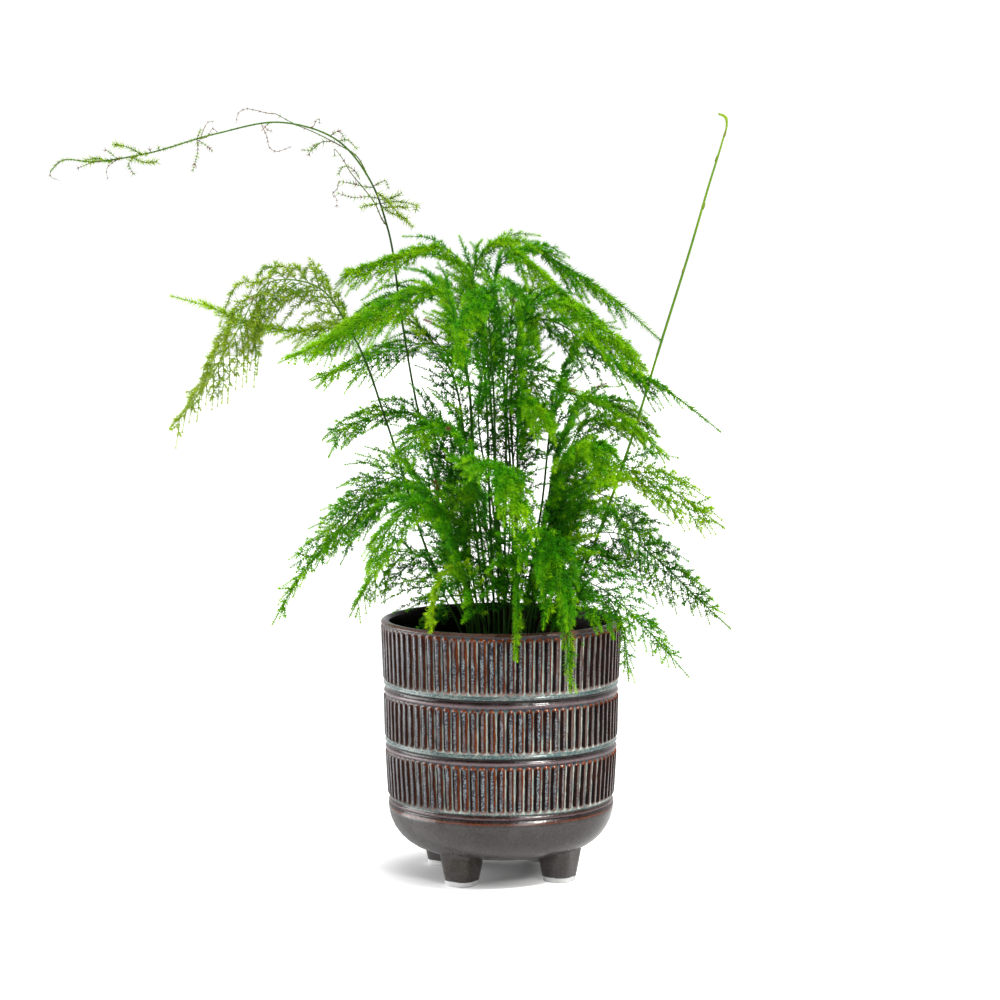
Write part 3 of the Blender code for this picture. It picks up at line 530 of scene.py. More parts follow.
def join_by_union(body, others):
    """Joins closed bodies into one with a Boolean, then removes the others."""
    for other in others:
        union = body.modifiers.new("join", "BOOLEAN")
        union.operation = "UNION"
        union.solver = "MANIFOLD"
        union.object = other
        deselect_everything()
        bpy.context.view_layer.objects.active = body
        body.select_set(True)
        bpy.ops.object.modifier_apply(modifier=union.name)
        bpy.data.objects.remove(other)


feet = [foot(FOOT_FIRST_ANGLE + math.tau * number / FOOT_COUNT) for number in range(FOOT_COUNT)]
join_by_union(pot, feet)
print("pot with feet:", len(pot.data.polygons), "faces")

# %% [markdown]
# ## A glaze that breaks
#
# The glaze pools pale in the furrows, stays blue and speckled on the crests and is burnt brown along the
# flanks of every rib. Over that, one side of every rib is painted lit, orange-brown, and the other painted
# in shade, nearly black. What the shader needs to know is how far each point lies from the crest, on which
# side and how far down its rib, so these are stored on the mesh.
# Everything finer comes from noise in the shader. A painted picture of the glaze would blur close up and
# would need a seam.

# %% Where each point lies on its rib
co, pot_angle, pot_radius, on_the_outside = round_the_axis(pot)
across, in_a_band = np.ones(len(co)), np.zeros(len(co), bool)
for top, bottom in RIB_BANDS:
    in_this = (co[:, 2] < top) & (co[:, 2] > bottom) & on_the_outside
    across[in_this] = away_from_crest(pot_angle, co[:, 2], top, bottom)[in_this]
    in_a_band |= in_this
share_of_pitch = (pot_angle * RIBS / math.tau + 0.5) % 1 - 0.5
# Which side of its rib a point lies on: the glaze colour paints one side lit and the other in shade
painted_lit_side = np.clip(0.5 + share_of_pitch * 4, 0, 1)


def store(thing, name, values):
    """Keeps one number for each point of a mesh, where a shader can read it."""
    layer = thing.data.attributes.new(name, "FLOAT", "POINT")
    layer.data.foreach_set("value", np.ascontiguousarray(values, np.float32))


fall = np.zeros(len(co))
for top, bottom in RIB_BANDS:
    in_this = (co[:, 2] <= top) & (co[:, 2] >= bottom)
    fall[in_this] = ((top - co[:, 2]) / (top - bottom))[in_this]
store(pot, "across", np.clip(across, 0, 1.2))
store(pot, "painted_lit_side", painted_lit_side)
store(pot, "fall", fall)
store(pot, "ribbed", in_a_band)
pot.data.shade_smooth()
print("points in the ribbed bands:", int(in_a_band.sum()))

# %% [markdown]
# Specks are shared: the glaze has pale and dark ones, and the soil has pale fibres. So they are a node
# group with a size, an amount and a place. Noise cut off high gives soft grains, and a second, slower noise
# gathers them in clouds, because evenly strewn specks look printed.

# %% A group for specks
CLOUD_SIZE = 0.11  # of the clouds' noise against the specks' own
CLOUD_WEIGHT = 0.35
SPECK_CUT = (1.0, 1.12)  # the noise shows as specks where it rises past these

specks, specks_in, specks_out = new_group(
    "specks", {"Place": "Vector", "Size": "Float", "Amount": "Float"}, {"Mask": "Float"}
)
place, size, amount = (specks_in.outputs[name] for name in ("Place", "Size", "Amount"))
grain = noise_at(specks, place, size, 2.0, 0.6)
cloud = noise_at(specks, place, times(specks, size, CLOUD_SIZE), 3.0)
both = reckon(specks, "ADD", grain, times(specks, cloud, CLOUD_WEIGHT))
both = reckon(specks, "ADD", both, amount)
specks.links.new(spread(specks, both, *SPECK_CUT), specks_out.inputs["Mask"])
print("group:", specks.name)

# %% A group for fine unevenness
uneven, uneven_in, uneven_out = new_group(
    "unevenness", {"Place": "Vector", "Size": "Float", "Height": "Float"}, {"Normal": "Vector"}
)
place, size, height = (uneven_in.outputs[name] for name in ("Place", "Size", "Height"))
swell = times(uneven, noise_at(uneven, place, size, 3.0), height)
press = wire(uneven, "ShaderNodeBump", Strength=1.0, Distance=1.0, Height=swell)
uneven.links.new(press.outputs["Normal"], uneven_out.inputs["Normal"])
print("group:", uneven.name)

# %% Colours of the glaze
POOL_PALE = (0.430, 0.485, 0.430)
# The next colour is painted shade for the furrows on the pot's left
POOL_PAINTED_SHADE = (0.030, 0.022, 0.019)
SHADE_AND_SPECK_BLACK = (0.005, 0.003, 0.003)
BURNT_BROWN = (0.030, 0.009, 0.006)
BREAK_ORANGE = (0.140, 0.030, 0.006)
TOP_ORANGE = (0.190, 0.038, 0.006)
CREST_RED = (0.035, 0.007, 0.005)
CREST_NAVY = (0.010, 0.015, 0.032)
CREST_BLUE = (0.022, 0.033, 0.052)
CREST_BROWN = (0.120, 0.066, 0.056)
CREST_CREAM = (0.330, 0.250, 0.225)
SPECK_BLUE = (0.230, 0.280, 0.300)
SPECK_CREAM = (0.330, 0.340, 0.300)
BEAD_TEAL = (0.055, 0.110, 0.115)
BEAD_MAUVE = (0.150, 0.105, 0.115)
GROOVE_RED = (0.010, 0.002, 0.001)
BODY_GREY = (0.040, 0.035, 0.035)
# The next colour is the painted grey sheen on the crests of the pot's left, and slow patches on the turned
# lines
SHEEN_AND_PATCH_VIOLET = (0.082, 0.073, 0.080)
FOOT_OLIVE = (0.024, 0.018, 0.010)
BARE_CLAY = (0.62, 0.62, 0.62)
# Painted shade: the inside of the pot is coloured nearly black
INSIDE_PAINTED_SHADE = (0.006, 0.004, 0.003)
CLAY_LINE = 0.0034  # the bare end of a foot

# Colours across a rib's two sides, from its crest out, one side painted in shade and one painted lit, and
# down its crest and its furrow, from the top end
PAINTED_SHADE_SIDE = [(0.0, SHADE_AND_SPECK_BLACK), (0.78, SHADE_AND_SPECK_BLACK), (0.88, BURNT_BROWN)]
PAINTED_LIT_SIDE = [(0.0, BURNT_BROWN), (0.46, BURNT_BROWN), (0.58, BREAK_ORANGE), (0.80, BREAK_ORANGE),
               (0.90, BURNT_BROWN)]
CREST_STOPS = [
    (0.0, TOP_ORANGE), (0.04, CREST_RED), (0.12, CREST_NAVY), (0.40, CREST_BLUE), (0.88, CREST_BLUE),
    (0.95, CREST_CREAM),
]
POOL_STOPS = [(0.0, BURNT_BROWN), (0.02, CREST_NAVY), (0.04, CREST_NAVY), (0.09, POOL_PALE), (1.0, POOL_PALE)]
CREST_EDGE = (0.26, 0.44)
PAINTED_SHADE_WIDER = 0.16  # how much further the painted shade side reaches up the crest
POOL_EDGE = (0.78, 0.93)
# Colours of the turned lines by height, from the bottom up
HEIGHT_STOPS = [
    (0.0, BODY_GREY), (0.0170, FOOT_OLIVE), (0.0205, BODY_GREY), (0.0436, BODY_GREY),
    (0.0444, BREAK_ORANGE), (0.0452, GROOVE_RED), (0.0464, GROOVE_RED), (0.0472, BEAD_MAUVE),
    (0.0482, BURNT_BROWN), (0.0494, GROOVE_RED), (0.0501, BEAD_TEAL), (0.0800, CREST_NAVY),
    (0.0807, BEAD_MAUVE), (0.0817, BEAD_MAUVE), (0.0825, GROOVE_RED), (0.0845, GROOVE_RED),
    (0.0850, BEAD_TEAL), (0.0868, BEAD_TEAL), (0.1149, CREST_NAVY), (0.1157, BEAD_MAUVE),
    (0.1169, BEAD_MAUVE), (0.1178, GROOVE_RED), (0.1201, GROOVE_RED), (0.1206, BEAD_TEAL),
    (0.1226, BEAD_TEAL), (0.1586, BURNT_BROWN), (0.1600, BURNT_BROWN), (0.1607, BREAK_ORANGE),
    (0.1614, BURNT_BROWN),
]
# How far the specks show, by height: most on the teal beads
SPECKLED = [
    (0.0, 0.05), (0.0494, 0.05), (0.0501, 0.5), (0.0790, 0.5), (0.0798, 0.1), (0.0845, 0.0), (0.0850, 0.6),
    (0.1140, 0.6), (0.1149, 0.1), (0.1201, 0.0), (0.1206, 0.6), (0.1570, 0.6), (0.1586, 0.1),
]
PAINTED_SHEEN_AND_SHADE_SIDE = (-0.024, -0.058)  # across the pot: from here to here, on the pot's left, a painted grey sheen covers the crests and painted shade darkens the flanks and furrows, which lose their orange
WARM_SIDE = (0.022, 0.052)  # and from here to here the crests turn brown
print(len(HEIGHT_STOPS), "glaze colours up the wall")

# %% How the glaze wanders
RUN_WANDER = 0.66  # how far the edges of the colours wander across a rib with the runs of the glaze
PATCH_WANDER = 0.36  # and with its slow patches
END_WANDER = 0.10  # the same down a rib
LINE_WANDER = 0.0010  # and up the wall, in metres
RUNS_STRETCHED = (1, 1, 0.16)  # the runs are long from top to bottom

glaze, tree, shader = new_material("reactive_glaze", 0.26)
place = place_on_plant(tree)
parts_of_place = wire(tree, "ShaderNodeSeparateXYZ", Vector=place)
to_the_right, height = parts_of_place.outputs["X"], parts_of_place.outputs["Z"]
runs = noise_at(tree, place_on_plant(tree, RUNS_STRETCHED), 620.0, 4.0, 0.65)
patches = noise_at(tree, place, 42.0, 3.0)
wander = reckon(tree, "SUBTRACT", runs, 0.5)
slow = reckon(tree, "SUBTRACT", patches, 0.5)
across_place = reckon(tree, "ADD", attribute(tree, "across"), times(tree, wander, RUN_WANDER))
across_place = reckon(tree, "ADD", across_place, times(tree, slow, PATCH_WANDER), clamp=True)
fall_place = reckon(tree, "ADD", attribute(tree, "fall"), times(tree, wander, END_WANDER), clamp=True)
wavy_height = reckon(tree, "ADD", height, times(tree, wander, LINE_WANDER))
fine_specks = use_group(tree, specks, Place=place, Size=1000.0, Amount=0.36)
# Where the pot's left side gets a painted sheen on its crests and painted shade on its flanks and furrows
painted_sheen_and_shade = spread(tree, to_the_right, *PAINTED_SHEEN_AND_SHADE_SIDE)
print("lines of the glaze wander by up to", LINE_WANDER * 500, "mm")

# %% Crests, flanks and pools
warm = reckon(tree, "ADD", spread(tree, to_the_right, *WARM_SIDE, 0.0, 0.55),
              spread(tree, patches, 0.46, 0.62, 0.10, 0.75), clamp=True)
crest_colour = ramp(tree, fall_place, CREST_STOPS)
crest_colour = blend(tree, times(tree, fine_specks, 0.9), crest_colour, SPECK_BLUE)
crest_colour = blend(tree, warm, crest_colour, CREST_BROWN)
# Painted grey sheen on the crests of the pot's left
crest_colour = blend(tree, times(tree, painted_sheen_and_shade, 0.70), crest_colour, SHEEN_AND_PATCH_VIOLET)
# One flank painted in shade, nearly black, the other painted lit, orange-brown, over the burnt brown
flank_colour = blend(tree, attribute(tree, "painted_lit_side"), ramp(tree, across_place, PAINTED_SHADE_SIDE),
                     ramp(tree, across_place, PAINTED_LIT_SIDE))
flank_colour = blend(tree, spread(tree, runs, 0.49, 0.58, 0.0, 0.75), flank_colour, BURNT_BROWN)
flank_colour = blend(tree, spread(tree, fall_place, 0.09, 0.03), flank_colour, TOP_ORANGE)
flank_colour = blend(tree, spread(tree, fall_place, 0.92, 0.97), flank_colour, CREST_CREAM)
# Painted shade on the flanks of the pot's left
flank_colour = blend(tree, times(tree, painted_sheen_and_shade, 0.80), flank_colour, SHADE_AND_SPECK_BLACK)
pool_colour = ramp(tree, fall_place, POOL_STOPS)
pool_colour = blend(tree, spread(tree, runs, 0.46, 0.58, 0.0, 0.70), pool_colour, BEAD_TEAL)
pool_colour = blend(tree, spread(tree, patches, 0.50, 0.40, 0.0, 0.60), pool_colour, CREST_BLUE)
# Painted shade in the furrows of the pot's left
pool_colour = blend(tree, times(tree, painted_sheen_and_shade, 0.80), pool_colour, POOL_PAINTED_SHADE)
print(len(PAINTED_SHADE_SIDE) + len(PAINTED_LIT_SIDE), "colours across a rib and", len(CREST_STOPS), "down its crest")

# %% The glaze put together
# The painted shade reaches further up the crest than the painted light
painted_shade_shift = times(tree, reckon(tree, "SUBTRACT", 1.0, attribute(tree, "painted_lit_side")), PAINTED_SHADE_WIDER)
crest_ends = spread(tree, reckon(tree, "ADD", across_place, painted_shade_shift), *CREST_EDGE)
in_pool = spread(tree, across_place, *POOL_EDGE)
rib_colour = blend(tree, crest_ends, crest_colour, flank_colour)
rib_colour = blend(tree, in_pool, rib_colour, pool_colour)
height_share = reckon(tree, "DIVIDE", wavy_height, POT_HEIGHT)
line_colour = ramp(tree, height_share, [(value / POT_HEIGHT, colour) for value, colour in HEIGHT_STOPS])
speckled = ramp(tree, height_share, [(value / POT_HEIGHT, (amount,) * 3) for value, amount in SPECKLED])
line_colour = blend(tree, times(tree, fine_specks, speckled), line_colour, SPECK_CREAM)
line_colour = blend(tree, spread(tree, patches, 0.46, 0.64, 0.0, 0.30), line_colour, SHEEN_AND_PATCH_VIOLET)
colour = blend(tree, attribute(tree, "ribbed"), line_colour, rib_colour)
dark_specks = use_group(tree, specks, Place=place, Size=900.0, Amount=0.26)
colour = blend(tree, times(tree, dark_specks, 0.55), colour, SHADE_AND_SPECK_BLACK)
# Painted shade over the glaze inside the pot
colour = blend(tree, attribute(tree, "inside"), colour, INSIDE_PAINTED_SHADE)
bare = spread(tree, reckon(tree, "SUBTRACT", CLAY_LINE, wavy_height), -0.0001, 0.0002)
colour = blend(tree, bare, colour, BARE_CLAY)
tree.links.new(colour, shader.inputs["Base Color"])
print("the feet are bare below", CLAY_LINE * 1000, "mm")

# %% The shine of the glaze
gloss = spread(tree, patches, 0.3, 0.7, 0.16, 0.34)
gloss = reckon(tree, "MAXIMUM", gloss, times(tree, bare, 0.8))
tree.links.new(gloss, shader.inputs["Roughness"])
tree.links.new(use_group(tree, uneven, Place=place, Size=420.0, Height=0.00016), shader.inputs["Normal"])
thin = times(tree, crest_ends, reckon(tree, "SUBTRACT", attribute(tree, "ribbed"), in_pool, clamp=True))
thin = times(tree, thin, spread(tree, fall_place, 0.04, 0.10))
thin = reckon(tree, "MAXIMUM", thin, attribute(tree, "inside"))
tree.links.new(spread(tree, thin, 0.0, 1.0, 0.36, 0.05), shader.inputs["Specular IOR Level"])
print("glaze with", len(tree.nodes), "nodes")

# %% Glaze the pot
inner_wall = np.interp(co[:, 2], *zip(*OUTSIDE)) - WALL * 0.5
is_inside = (pot_radius < inner_wall) & (co[:, 2] > CORNER_HEIGHT - CORNER_RADIUS + WALL * 0.7)
corner_centre = wall_radius(CORNER_HEIGHT) - CORNER_RADIUS
from_corner = np.hypot(pot_radius - corner_centre, co[:, 2] - CORNER_HEIGHT)
is_inside &= (co[:, 2] > CORNER_HEIGHT) | (from_corner < CORNER_RADIUS - WALL / 2)
store(pot, "inside", is_inside)
pot.data.materials.clear()
pot.data.materials.append(glaze)
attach(pot, "root")
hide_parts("pot")
print("points of the inside:", int(is_inside.sum()))

# %% [markdown]
# ## Soil
#
# Potting mix is dark, crumbly and a little uneven. Its body is turned like the pot, to the shape of the
# inside, and its top is roughened with noise. A few hundred crumbs lie on it. Each is a copy of one crumb,
# turned and stretched, which is cheaper than a simulation and looks the same once the stems stand in it.

# %% The body of the soil
SOIL_EDGE = 0.1330
SOIL_MIDDLE = 0.1345
SOIL_GAP = 0.0003
SOIL_COLUMNS = 110
SOIL_RINGS = 26
ROUGHNESS_HEIGHT = 0.0016


def inner_wall_radius(height):
    low = wall_radius(CORNER_HEIGHT) - WALL
    top = POT_HEIGHT - LIP_DROP
    return low + (INSIDE_TOP_RADIUS - low) * (height - CORNER_HEIGHT) / (top - CORNER_HEIGHT)


soil_outline = [(0, CORNER_HEIGHT - CORNER_RADIUS + WALL + SOIL_GAP)]
soil_outline += round_corner(WALL + SOIL_GAP, 4)[::-1]
soil_outline.append((inner_wall_radius(SOIL_EDGE) - SOIL_GAP * 2, SOIL_EDGE))
edge_radius = soil_outline[-1][0]
for ring in range(1, SOIL_RINGS + 1):
    share = 1 - ring / SOIL_RINGS
    soil_outline.append((edge_radius * share, SOIL_MIDDLE - (SOIL_MIDDLE - SOIL_EDGE) * share**2))
soil = turned("potting_soil", soil_outline, SOIL_COLUMNS)

co = points_of(soil)
radius = np.hypot(co[:, 0] - AXIS.x, co[:, 1] - AXIS.y)
on_top = (co[:, 2] > SOIL_EDGE - 0.002) & (radius < edge_radius - 0.0005)
for index in np.flatnonzero(on_top):
    point = Vector(co[index])
    height = noise.fractal(point * 260, 0.8, 2.1, 3) + 0.6 * noise.noise(point * 60)
    co[index, 2] += ROUGHNESS_HEIGHT * height
place_points(soil, co)
print("soil:", len(soil.data.polygons), "faces")

# %% Crumbs
CRUMBS = 420
CRUMB_SIZE = (0.0009, 0.0026)
soil_dice = random.Random("soil")

deselect_everything()
bpy.ops.mesh.primitive_ico_sphere_add(subdivisions=1, radius=1)
bpy.ops.object.mode_set(mode="EDIT")
bpy.ops.transform.vertex_random(offset=0.22, seed=3)
bpy.ops.object.mode_set(mode="OBJECT")
crumb = named("crumb")
crumb_points = points_of(crumb)
crumb_faces = np.array([face.vertices[:] for face in crumb.data.polygons])
bpy.data.objects.remove(crumb)

places, faces = [points_of(soil)], [face.vertices[:] for face in soil.data.polygons]
for number in range(CRUMBS):
    angle = soil_dice.uniform(0, math.tau)
    away = edge_radius * 0.96 * math.sqrt(soil_dice.random())
    size = soil_dice.uniform(*CRUMB_SIZE)
    turn = Quaternion([soil_dice.gauss(0, 1) for _ in range(4)]).normalized().to_matrix()
    stretch = np.diag([size, size * soil_dice.uniform(0.5, 1), size * soil_dice.uniform(0.4, 0.9)])
    middle = AXIS + Vector((away * math.cos(angle), away * math.sin(angle), SOIL_MIDDLE + size * 0.25))
    middle.z -= (SOIL_MIDDLE - SOIL_EDGE) * (away / edge_radius) ** 2
    places.append(crumb_points @ (np.array(turn) @ stretch).T + np.array(middle))
    first = len(points_of(soil)) + number * len(crumb_points)
    faces.extend((crumb_faces + first).tolist())
soil.data.clear_geometry()
soil.data.from_pydata(np.concatenate(places).tolist(), [], [list(face) for face in faces])
soil.data.update()
soil.data.shade_smooth()
print(CRUMBS, "crumbs on the soil")

# %% The colour of the soil
SOIL_STOPS = [(0.3, (0.010, 0.006, 0.004)), (0.5, (0.030, 0.018, 0.011)), (0.68, (0.075, 0.046, 0.027))]
FIBRE_PALE = (0.16, 0.11, 0.065)

earth, tree, shader = new_material("damp_earth", 0.92)
place = place_on_plant(tree)
colour = ramp(tree, noise_at(tree, place, 190.0, 5.0, 0.7), SOIL_STOPS)
fibres = use_group(tree, specks, Place=place, Size=700.0, Amount=0.20)
colour = blend(tree, fibres, colour, FIBRE_PALE)
tree.links.new(colour, shader.inputs["Base Color"])
tree.links.new(use_group(tree, uneven, Place=place, Size=900.0, Height=0.0006), shader.inputs["Normal"])
soil.data.materials.append(earth)
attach(soil, "root")
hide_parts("soil")
print("soil is done")

# %% [markdown]
# ## How a frond grows
#
# Every frond has the same plan, one size inside the other. A wiry stem rises bare out of the soil and
# arches over. Along its leafy part, side branches leave by turns to the left and the right, and both sides
# hang a little. Each branch carries sprigs in the same way, and each sprig carries whorls of needles. A
# particle system could strew needles, but they would point anywhere and an export would drop them. Here the
# needle and the sprigs are modelled once and copied to worked-out places, so every needle is real mesh, of
# only four faces.

# %% Curves
FINE_STEP = 0.002


def unit(vectors):
    return vectors / np.linalg.norm(vectors, axis=-1, keepdims=True)


def smooth_curve(points, start_direction):
    """Points FINE_STEP apart on a smooth curve through the given ones, which starts in start_direction."""
    points = np.array(points, float)
    steps = np.diff(points, axis=0)
    lengths = np.linalg.norm(steps, axis=1)
    chords = steps / lengths[:, None]
    slopes = [unit(np.array(start_direction, float))]
    for before, after, low, high in zip(chords, chords[1:], lengths, lengths[1:]):
        slopes.append((before * high + after * low) / (low + high))
    slopes.append(chords[-1])
    line = [points[:1]]
    for start, end, leave, arrive, length in zip(points, points[1:], slopes, slopes[1:], lengths):
        count = max(2, round(length / FINE_STEP))
        t = np.arange(1, count + 1)[:, None] / count
        line.append(
            start * (2 * t**3 - 3 * t**2 + 1)
            + leave * length * (t**3 - 2 * t**2 + t)
            + end * (3 * t**2 - 2 * t**3)
            + arrive * length * (t**3 - t**2)
        )
    return np.concatenate(line)


class Line:
    """A curve that can be read by the distance along it."""

    def __init__(self, points):
        self.points = points
        steps = np.linalg.norm(np.diff(points, axis=0), axis=1)
        self.marks = np.concatenate([[0], np.cumsum(steps)])
        self.length = float(self.marks[-1])

    def at(self, distance):
        return np.stack([np.interp(distance, self.marks, column) for column in self.points.T], axis=-1)

    def direction(self, distance):
        return unit(self.at(distance + FINE_STEP / 2) - self.at(distance - FINE_STEP / 2))


def turned_about(axis, vector, angle):
    """A vector turned round an axis that it stands square to."""
    return vector * math.cos(angle) + np.cross(axis, vector) * math.sin(angle)


print("curves are read every", FINE_STEP * 1000, "mm")

# %% Gathering mesh
VALUES = ("age", "stalk", "dry")  # what the colour of each point depends on


class Growth:
    """Gathers the points, triangles and colour values of everything that grows in one piece."""

    def __init__(self):
        self.points, self.faces, self.count = [], [], 0
        self.values = {name: [] for name in VALUES}

    def add(self, points, faces, **values):
        self.points.append(points)
        self.faces.append(faces + self.count)
        for name in VALUES:
            self.values[name].append(np.broadcast_to(values.get(name, 0.0), len(points)))
        self.count += len(points)

    def tube(self, centres, radii, sides, **values):
        """A stalk through the points, closed at its root and drawn to a point at its end."""
        along = unit(np.gradient(centres, axis=0))
        across = np.cross(along[0], unit(np.array([0.31, 0.87, 0.22])))
        turns = np.arange(sides) * math.tau / sides
        rings = []
        for centre, direction, radius in zip(centres, along, radii):
            across = unit(across - direction * (across @ direction))
            other = np.cross(direction, across)
            rings.append(centre + radius * (np.outer(np.cos(turns), across) + np.outer(np.sin(turns), other)))
        tip = centres[-1] + along[-1] * radii[-1]
        points = np.concatenate([*rings, [centres[0], tip]])
        side = np.arange(sides)
        follower = (side + 1) % sides
        faces = []
        for ring in range(len(rings) - 1):
            low, high = ring * sides, (ring + 1) * sides
            faces.append(np.stack([low + side, low + follower, high + follower], 1))
            faces.append(np.stack([low + side, high + follower, high + side], 1))
        root_point, tip_point = len(points) - 2, len(points) - 1
        last = (len(rings) - 1) * sides
        faces.append(np.stack([follower, side, np.full(sides, root_point)], 1))
        faces.append(np.stack([last + side, last + follower, np.full(sides, tip_point)], 1))
        for name, value in values.items():
            if np.ndim(value):
                values[name] = np.concatenate([np.repeat(value, sides), [value[0], value[-1]]])
        self.add(points, np.concatenate(faces), **values)

    def stamp(self, pattern, places, frames, ages, dries):
        """Copies a pattern to many places. A frame holds the pattern's X, Y and Z as columns."""
        places, frames = np.array(places), np.array(frames)
        many, each = len(places), len(pattern["points"])
        moved = np.einsum("mij,vj->mvi", frames, pattern["points"]) + places[:, None]
        faces = pattern["faces"][None] + (np.arange(many) * each)[:, None, None]
        age = np.array(ages)[:, None] + pattern["tip"][None]
        self.add(moved.reshape(-1, 3), faces.reshape(-1, 3), age=age.ravel(),
                 stalk=np.tile(pattern["stalk"], many), dry=np.repeat(dries, each))

    def piece(self, name, material):
        """The whole growth as one object, moved from the pot's axis to its place."""
        points = np.concatenate(self.points) + np.array(AXIS)
        faces = np.concatenate(self.faces).astype(np.int32)
        mesh = bpy.data.meshes.new(name)
        mesh.vertices.add(len(points))
        mesh.vertices.foreach_set("co", points.ravel())
        mesh.loops.add(faces.size)
        mesh.loops.foreach_set("vertex_index", faces.ravel())
        mesh.polygons.add(len(faces))
        mesh.polygons.foreach_set("loop_start", np.arange(0, faces.size, 3, dtype=np.int32))
        mesh.update(calc_edges=True)
        thing = bpy.data.objects.new(name, mesh)
        bpy.context.scene.collection.objects.link(thing)
        for value in VALUES:
            store(thing, value, np.concatenate(self.values[value]))
        mesh.shade_smooth()
        mesh.materials.append(material)
        return thing


print("each point of a frond keeps its", ", ".join(VALUES))

# %% [markdown]
# ## A needle and the sprigs
#
# A needle is a three-sided cone, 4.7 millimetres long and 0.8 thick at its root. More sides would not show,
# for a needle is about a pixel wide. Whorls of four needles stand along a thin stalk, leaning forward, and
# the last whorl closes like a brush. The stalk is one needle drawn out long. Five lengths in three variants
# are enough, because each copy is turned, bent off the plane and scaled a little.

# %% One needle
NEEDLE_LENGTH = 0.0047
NEEDLE_RADIUS = 0.00039

deselect_everything()
bpy.ops.mesh.primitive_cone_add(vertices=3, radius1=NEEDLE_RADIUS, radius2=0, depth=NEEDLE_LENGTH,
                                location=(0, 0, NEEDLE_LENGTH / 2))
needle = named("needle")
bpy.ops.object.transform_apply(location=True, rotation=True, scale=True)
needle_points = points_of(needle)
needle_faces = np.array([face.vertices[:] for face in needle.data.polygons])
bpy.data.objects.remove(needle)
print("one needle:", len(needle_faces), "faces")

# %% Whorls and sprigs
WHORL = 4  # needles
WHORL_SPACING = 0.0018
FIRST_WHORL = 0.0013
LEAN_AT_ROOT = math.radians(58)  # from the stalk's own direction
LEAN_AT_END = math.radians(36)
LEAN_OF_BRUSH = math.radians(20)
LEAN_JITTER = math.radians(8)
SPRIG_LENGTHS = (0.004, 0.006, 0.0085, 0.011, 0.014)
VARIANTS = 3
WHORL_LEANS = (44, 50, 56, 62)  # degrees, of the four loose whorls
STALK_TO_NEEDLE = 0.90  # thickness of a sprig's stalk against a needle's
TIP_BRIGHTER = 0.24  # how much younger the end of a sprig is than its root


def needle_on(place, lean, turn, size):
    """The points of a needle that leans away from +X, turned round it."""
    forward = np.array([math.cos(lean), math.sin(lean) * math.cos(turn), math.sin(lean) * math.sin(turn)])
    across = unit(np.cross(forward, (0.3, -math.sin(turn), math.cos(turn))))
    frame = np.stack([across, np.cross(forward, across), forward], 1)
    return needle_points * np.array([1, 1, size]) @ frame.T + place


def pattern_of(parts):
    """Joins parts of (points, faces, tip, stalk) into one pattern."""
    points, faces, tips, stalks, count = [], [], [], [], 0
    for part_points, part_faces, tip, stalk in parts:
        points.append(part_points)
        faces.append(part_faces + count)
        tips.append(np.full(len(part_points), tip * TIP_BRIGHTER))
        stalks.append(np.full(len(part_points), stalk))
        count += len(part_points)
    return dict(points=np.concatenate(points), faces=np.concatenate(faces), tip=np.concatenate(tips),
                stalk=np.concatenate(stalks))


def whorl_parts(place, share, lean, dice):
    first = dice.uniform(0, math.tau)
    for number in range(WHORL):
        turn = first + math.tau * number / WHORL + dice.gauss(0, 0.2)
        size = dice.uniform(0.8, 1.1) * (1 - 0.25 * share**3)
        tilted = lean + dice.uniform(-LEAN_JITTER, LEAN_JITTER)
        yield needle_on(place, tilted, turn, size), needle_faces, share, 0.0


def sprig(length, dice):
    """One side shoot along +X."""
    stalk = needle_points * (STALK_TO_NEEDLE, STALK_TO_NEEDLE, length / NEEDLE_LENGTH)
    parts = [(stalk[:, [2, 0, 1]], needle_faces, 0.3, 0.3)]
    place = FIRST_WHORL
    last = length - NEEDLE_LENGTH * 0.75
    while place < last:
        share = place / length
        lean = LEAN_AT_ROOT + (LEAN_AT_END - LEAN_AT_ROOT) * share
        parts.extend(whorl_parts(np.array([place, 0, 0]), share, lean, dice))
        place += WHORL_SPACING
    parts.extend(whorl_parts(np.array([last, 0, 0]), 1.0, LEAN_OF_BRUSH, dice))
    return pattern_of(parts)


pattern_dice = random.Random("sprigs")
SPRIGS = {length: [sprig(length, pattern_dice) for _ in range(VARIANTS)] for length in SPRIG_LENGTHS}
WHORLS = [
    pattern_of(whorl_parts(np.zeros(3), 0.3, math.radians(lean), pattern_dice)) for lean in WHORL_LEANS
]
for length, kinds in SPRIGS.items():
    print("a sprig of", length * 1000, "mm:", len(kinds[0]["faces"]), "faces")

# %% [markdown]
# ## One branch, one frond
#
# The functions below repeat the plan of the measured model: the same stems, a similar reach, and branches
# that sweep forward, more so near the end of a frond. The measured model has room for five branches on a
# frond. Here there is one every few millimetres, and its sprigs get shorter and finer until it ends in a
# point.

# %% A branch with its sprigs
SOIL_SURFACE = 0.1345
STEM_ROOT = 0.1228  # where a stem ends in the soil
STRAIGHT_ABOVE_SOIL = 0.003
STEM_RADII = (0.00085, 0.00072, 0.00044, 0.00026)
BRANCH_RADII = (0.00040, 0.00022)
BRANCH_SPACING = 0.0040
BRANCH_FORWARD = 0.50
SHORTEST_BRANCH = 0.011
BASE_SHARE = 0.65
WIDEST_AT = 0.15
SWEPT_AT = (0, 0.35, 1)  # shares of the leafy part for which a habit gives the angle of the branches
SPRIG_SPACING = 0.0039
SPRIG_ANGLE = (math.radians(44), math.radians(26))
AXIS_WHORL_SPACING = 0.0018
OFF_PLANE = math.radians(11)
TURNED_BY = 0.4  # share of the leafy part in which a frond turns from its first roll to its last
END_SPRIG = 0.0080
END_FINENESS = 0.62  # size of the needles at the very end of a branch
SPRIG_TAPER = 0.80
SHORTEST_SPRIG = 0.0032
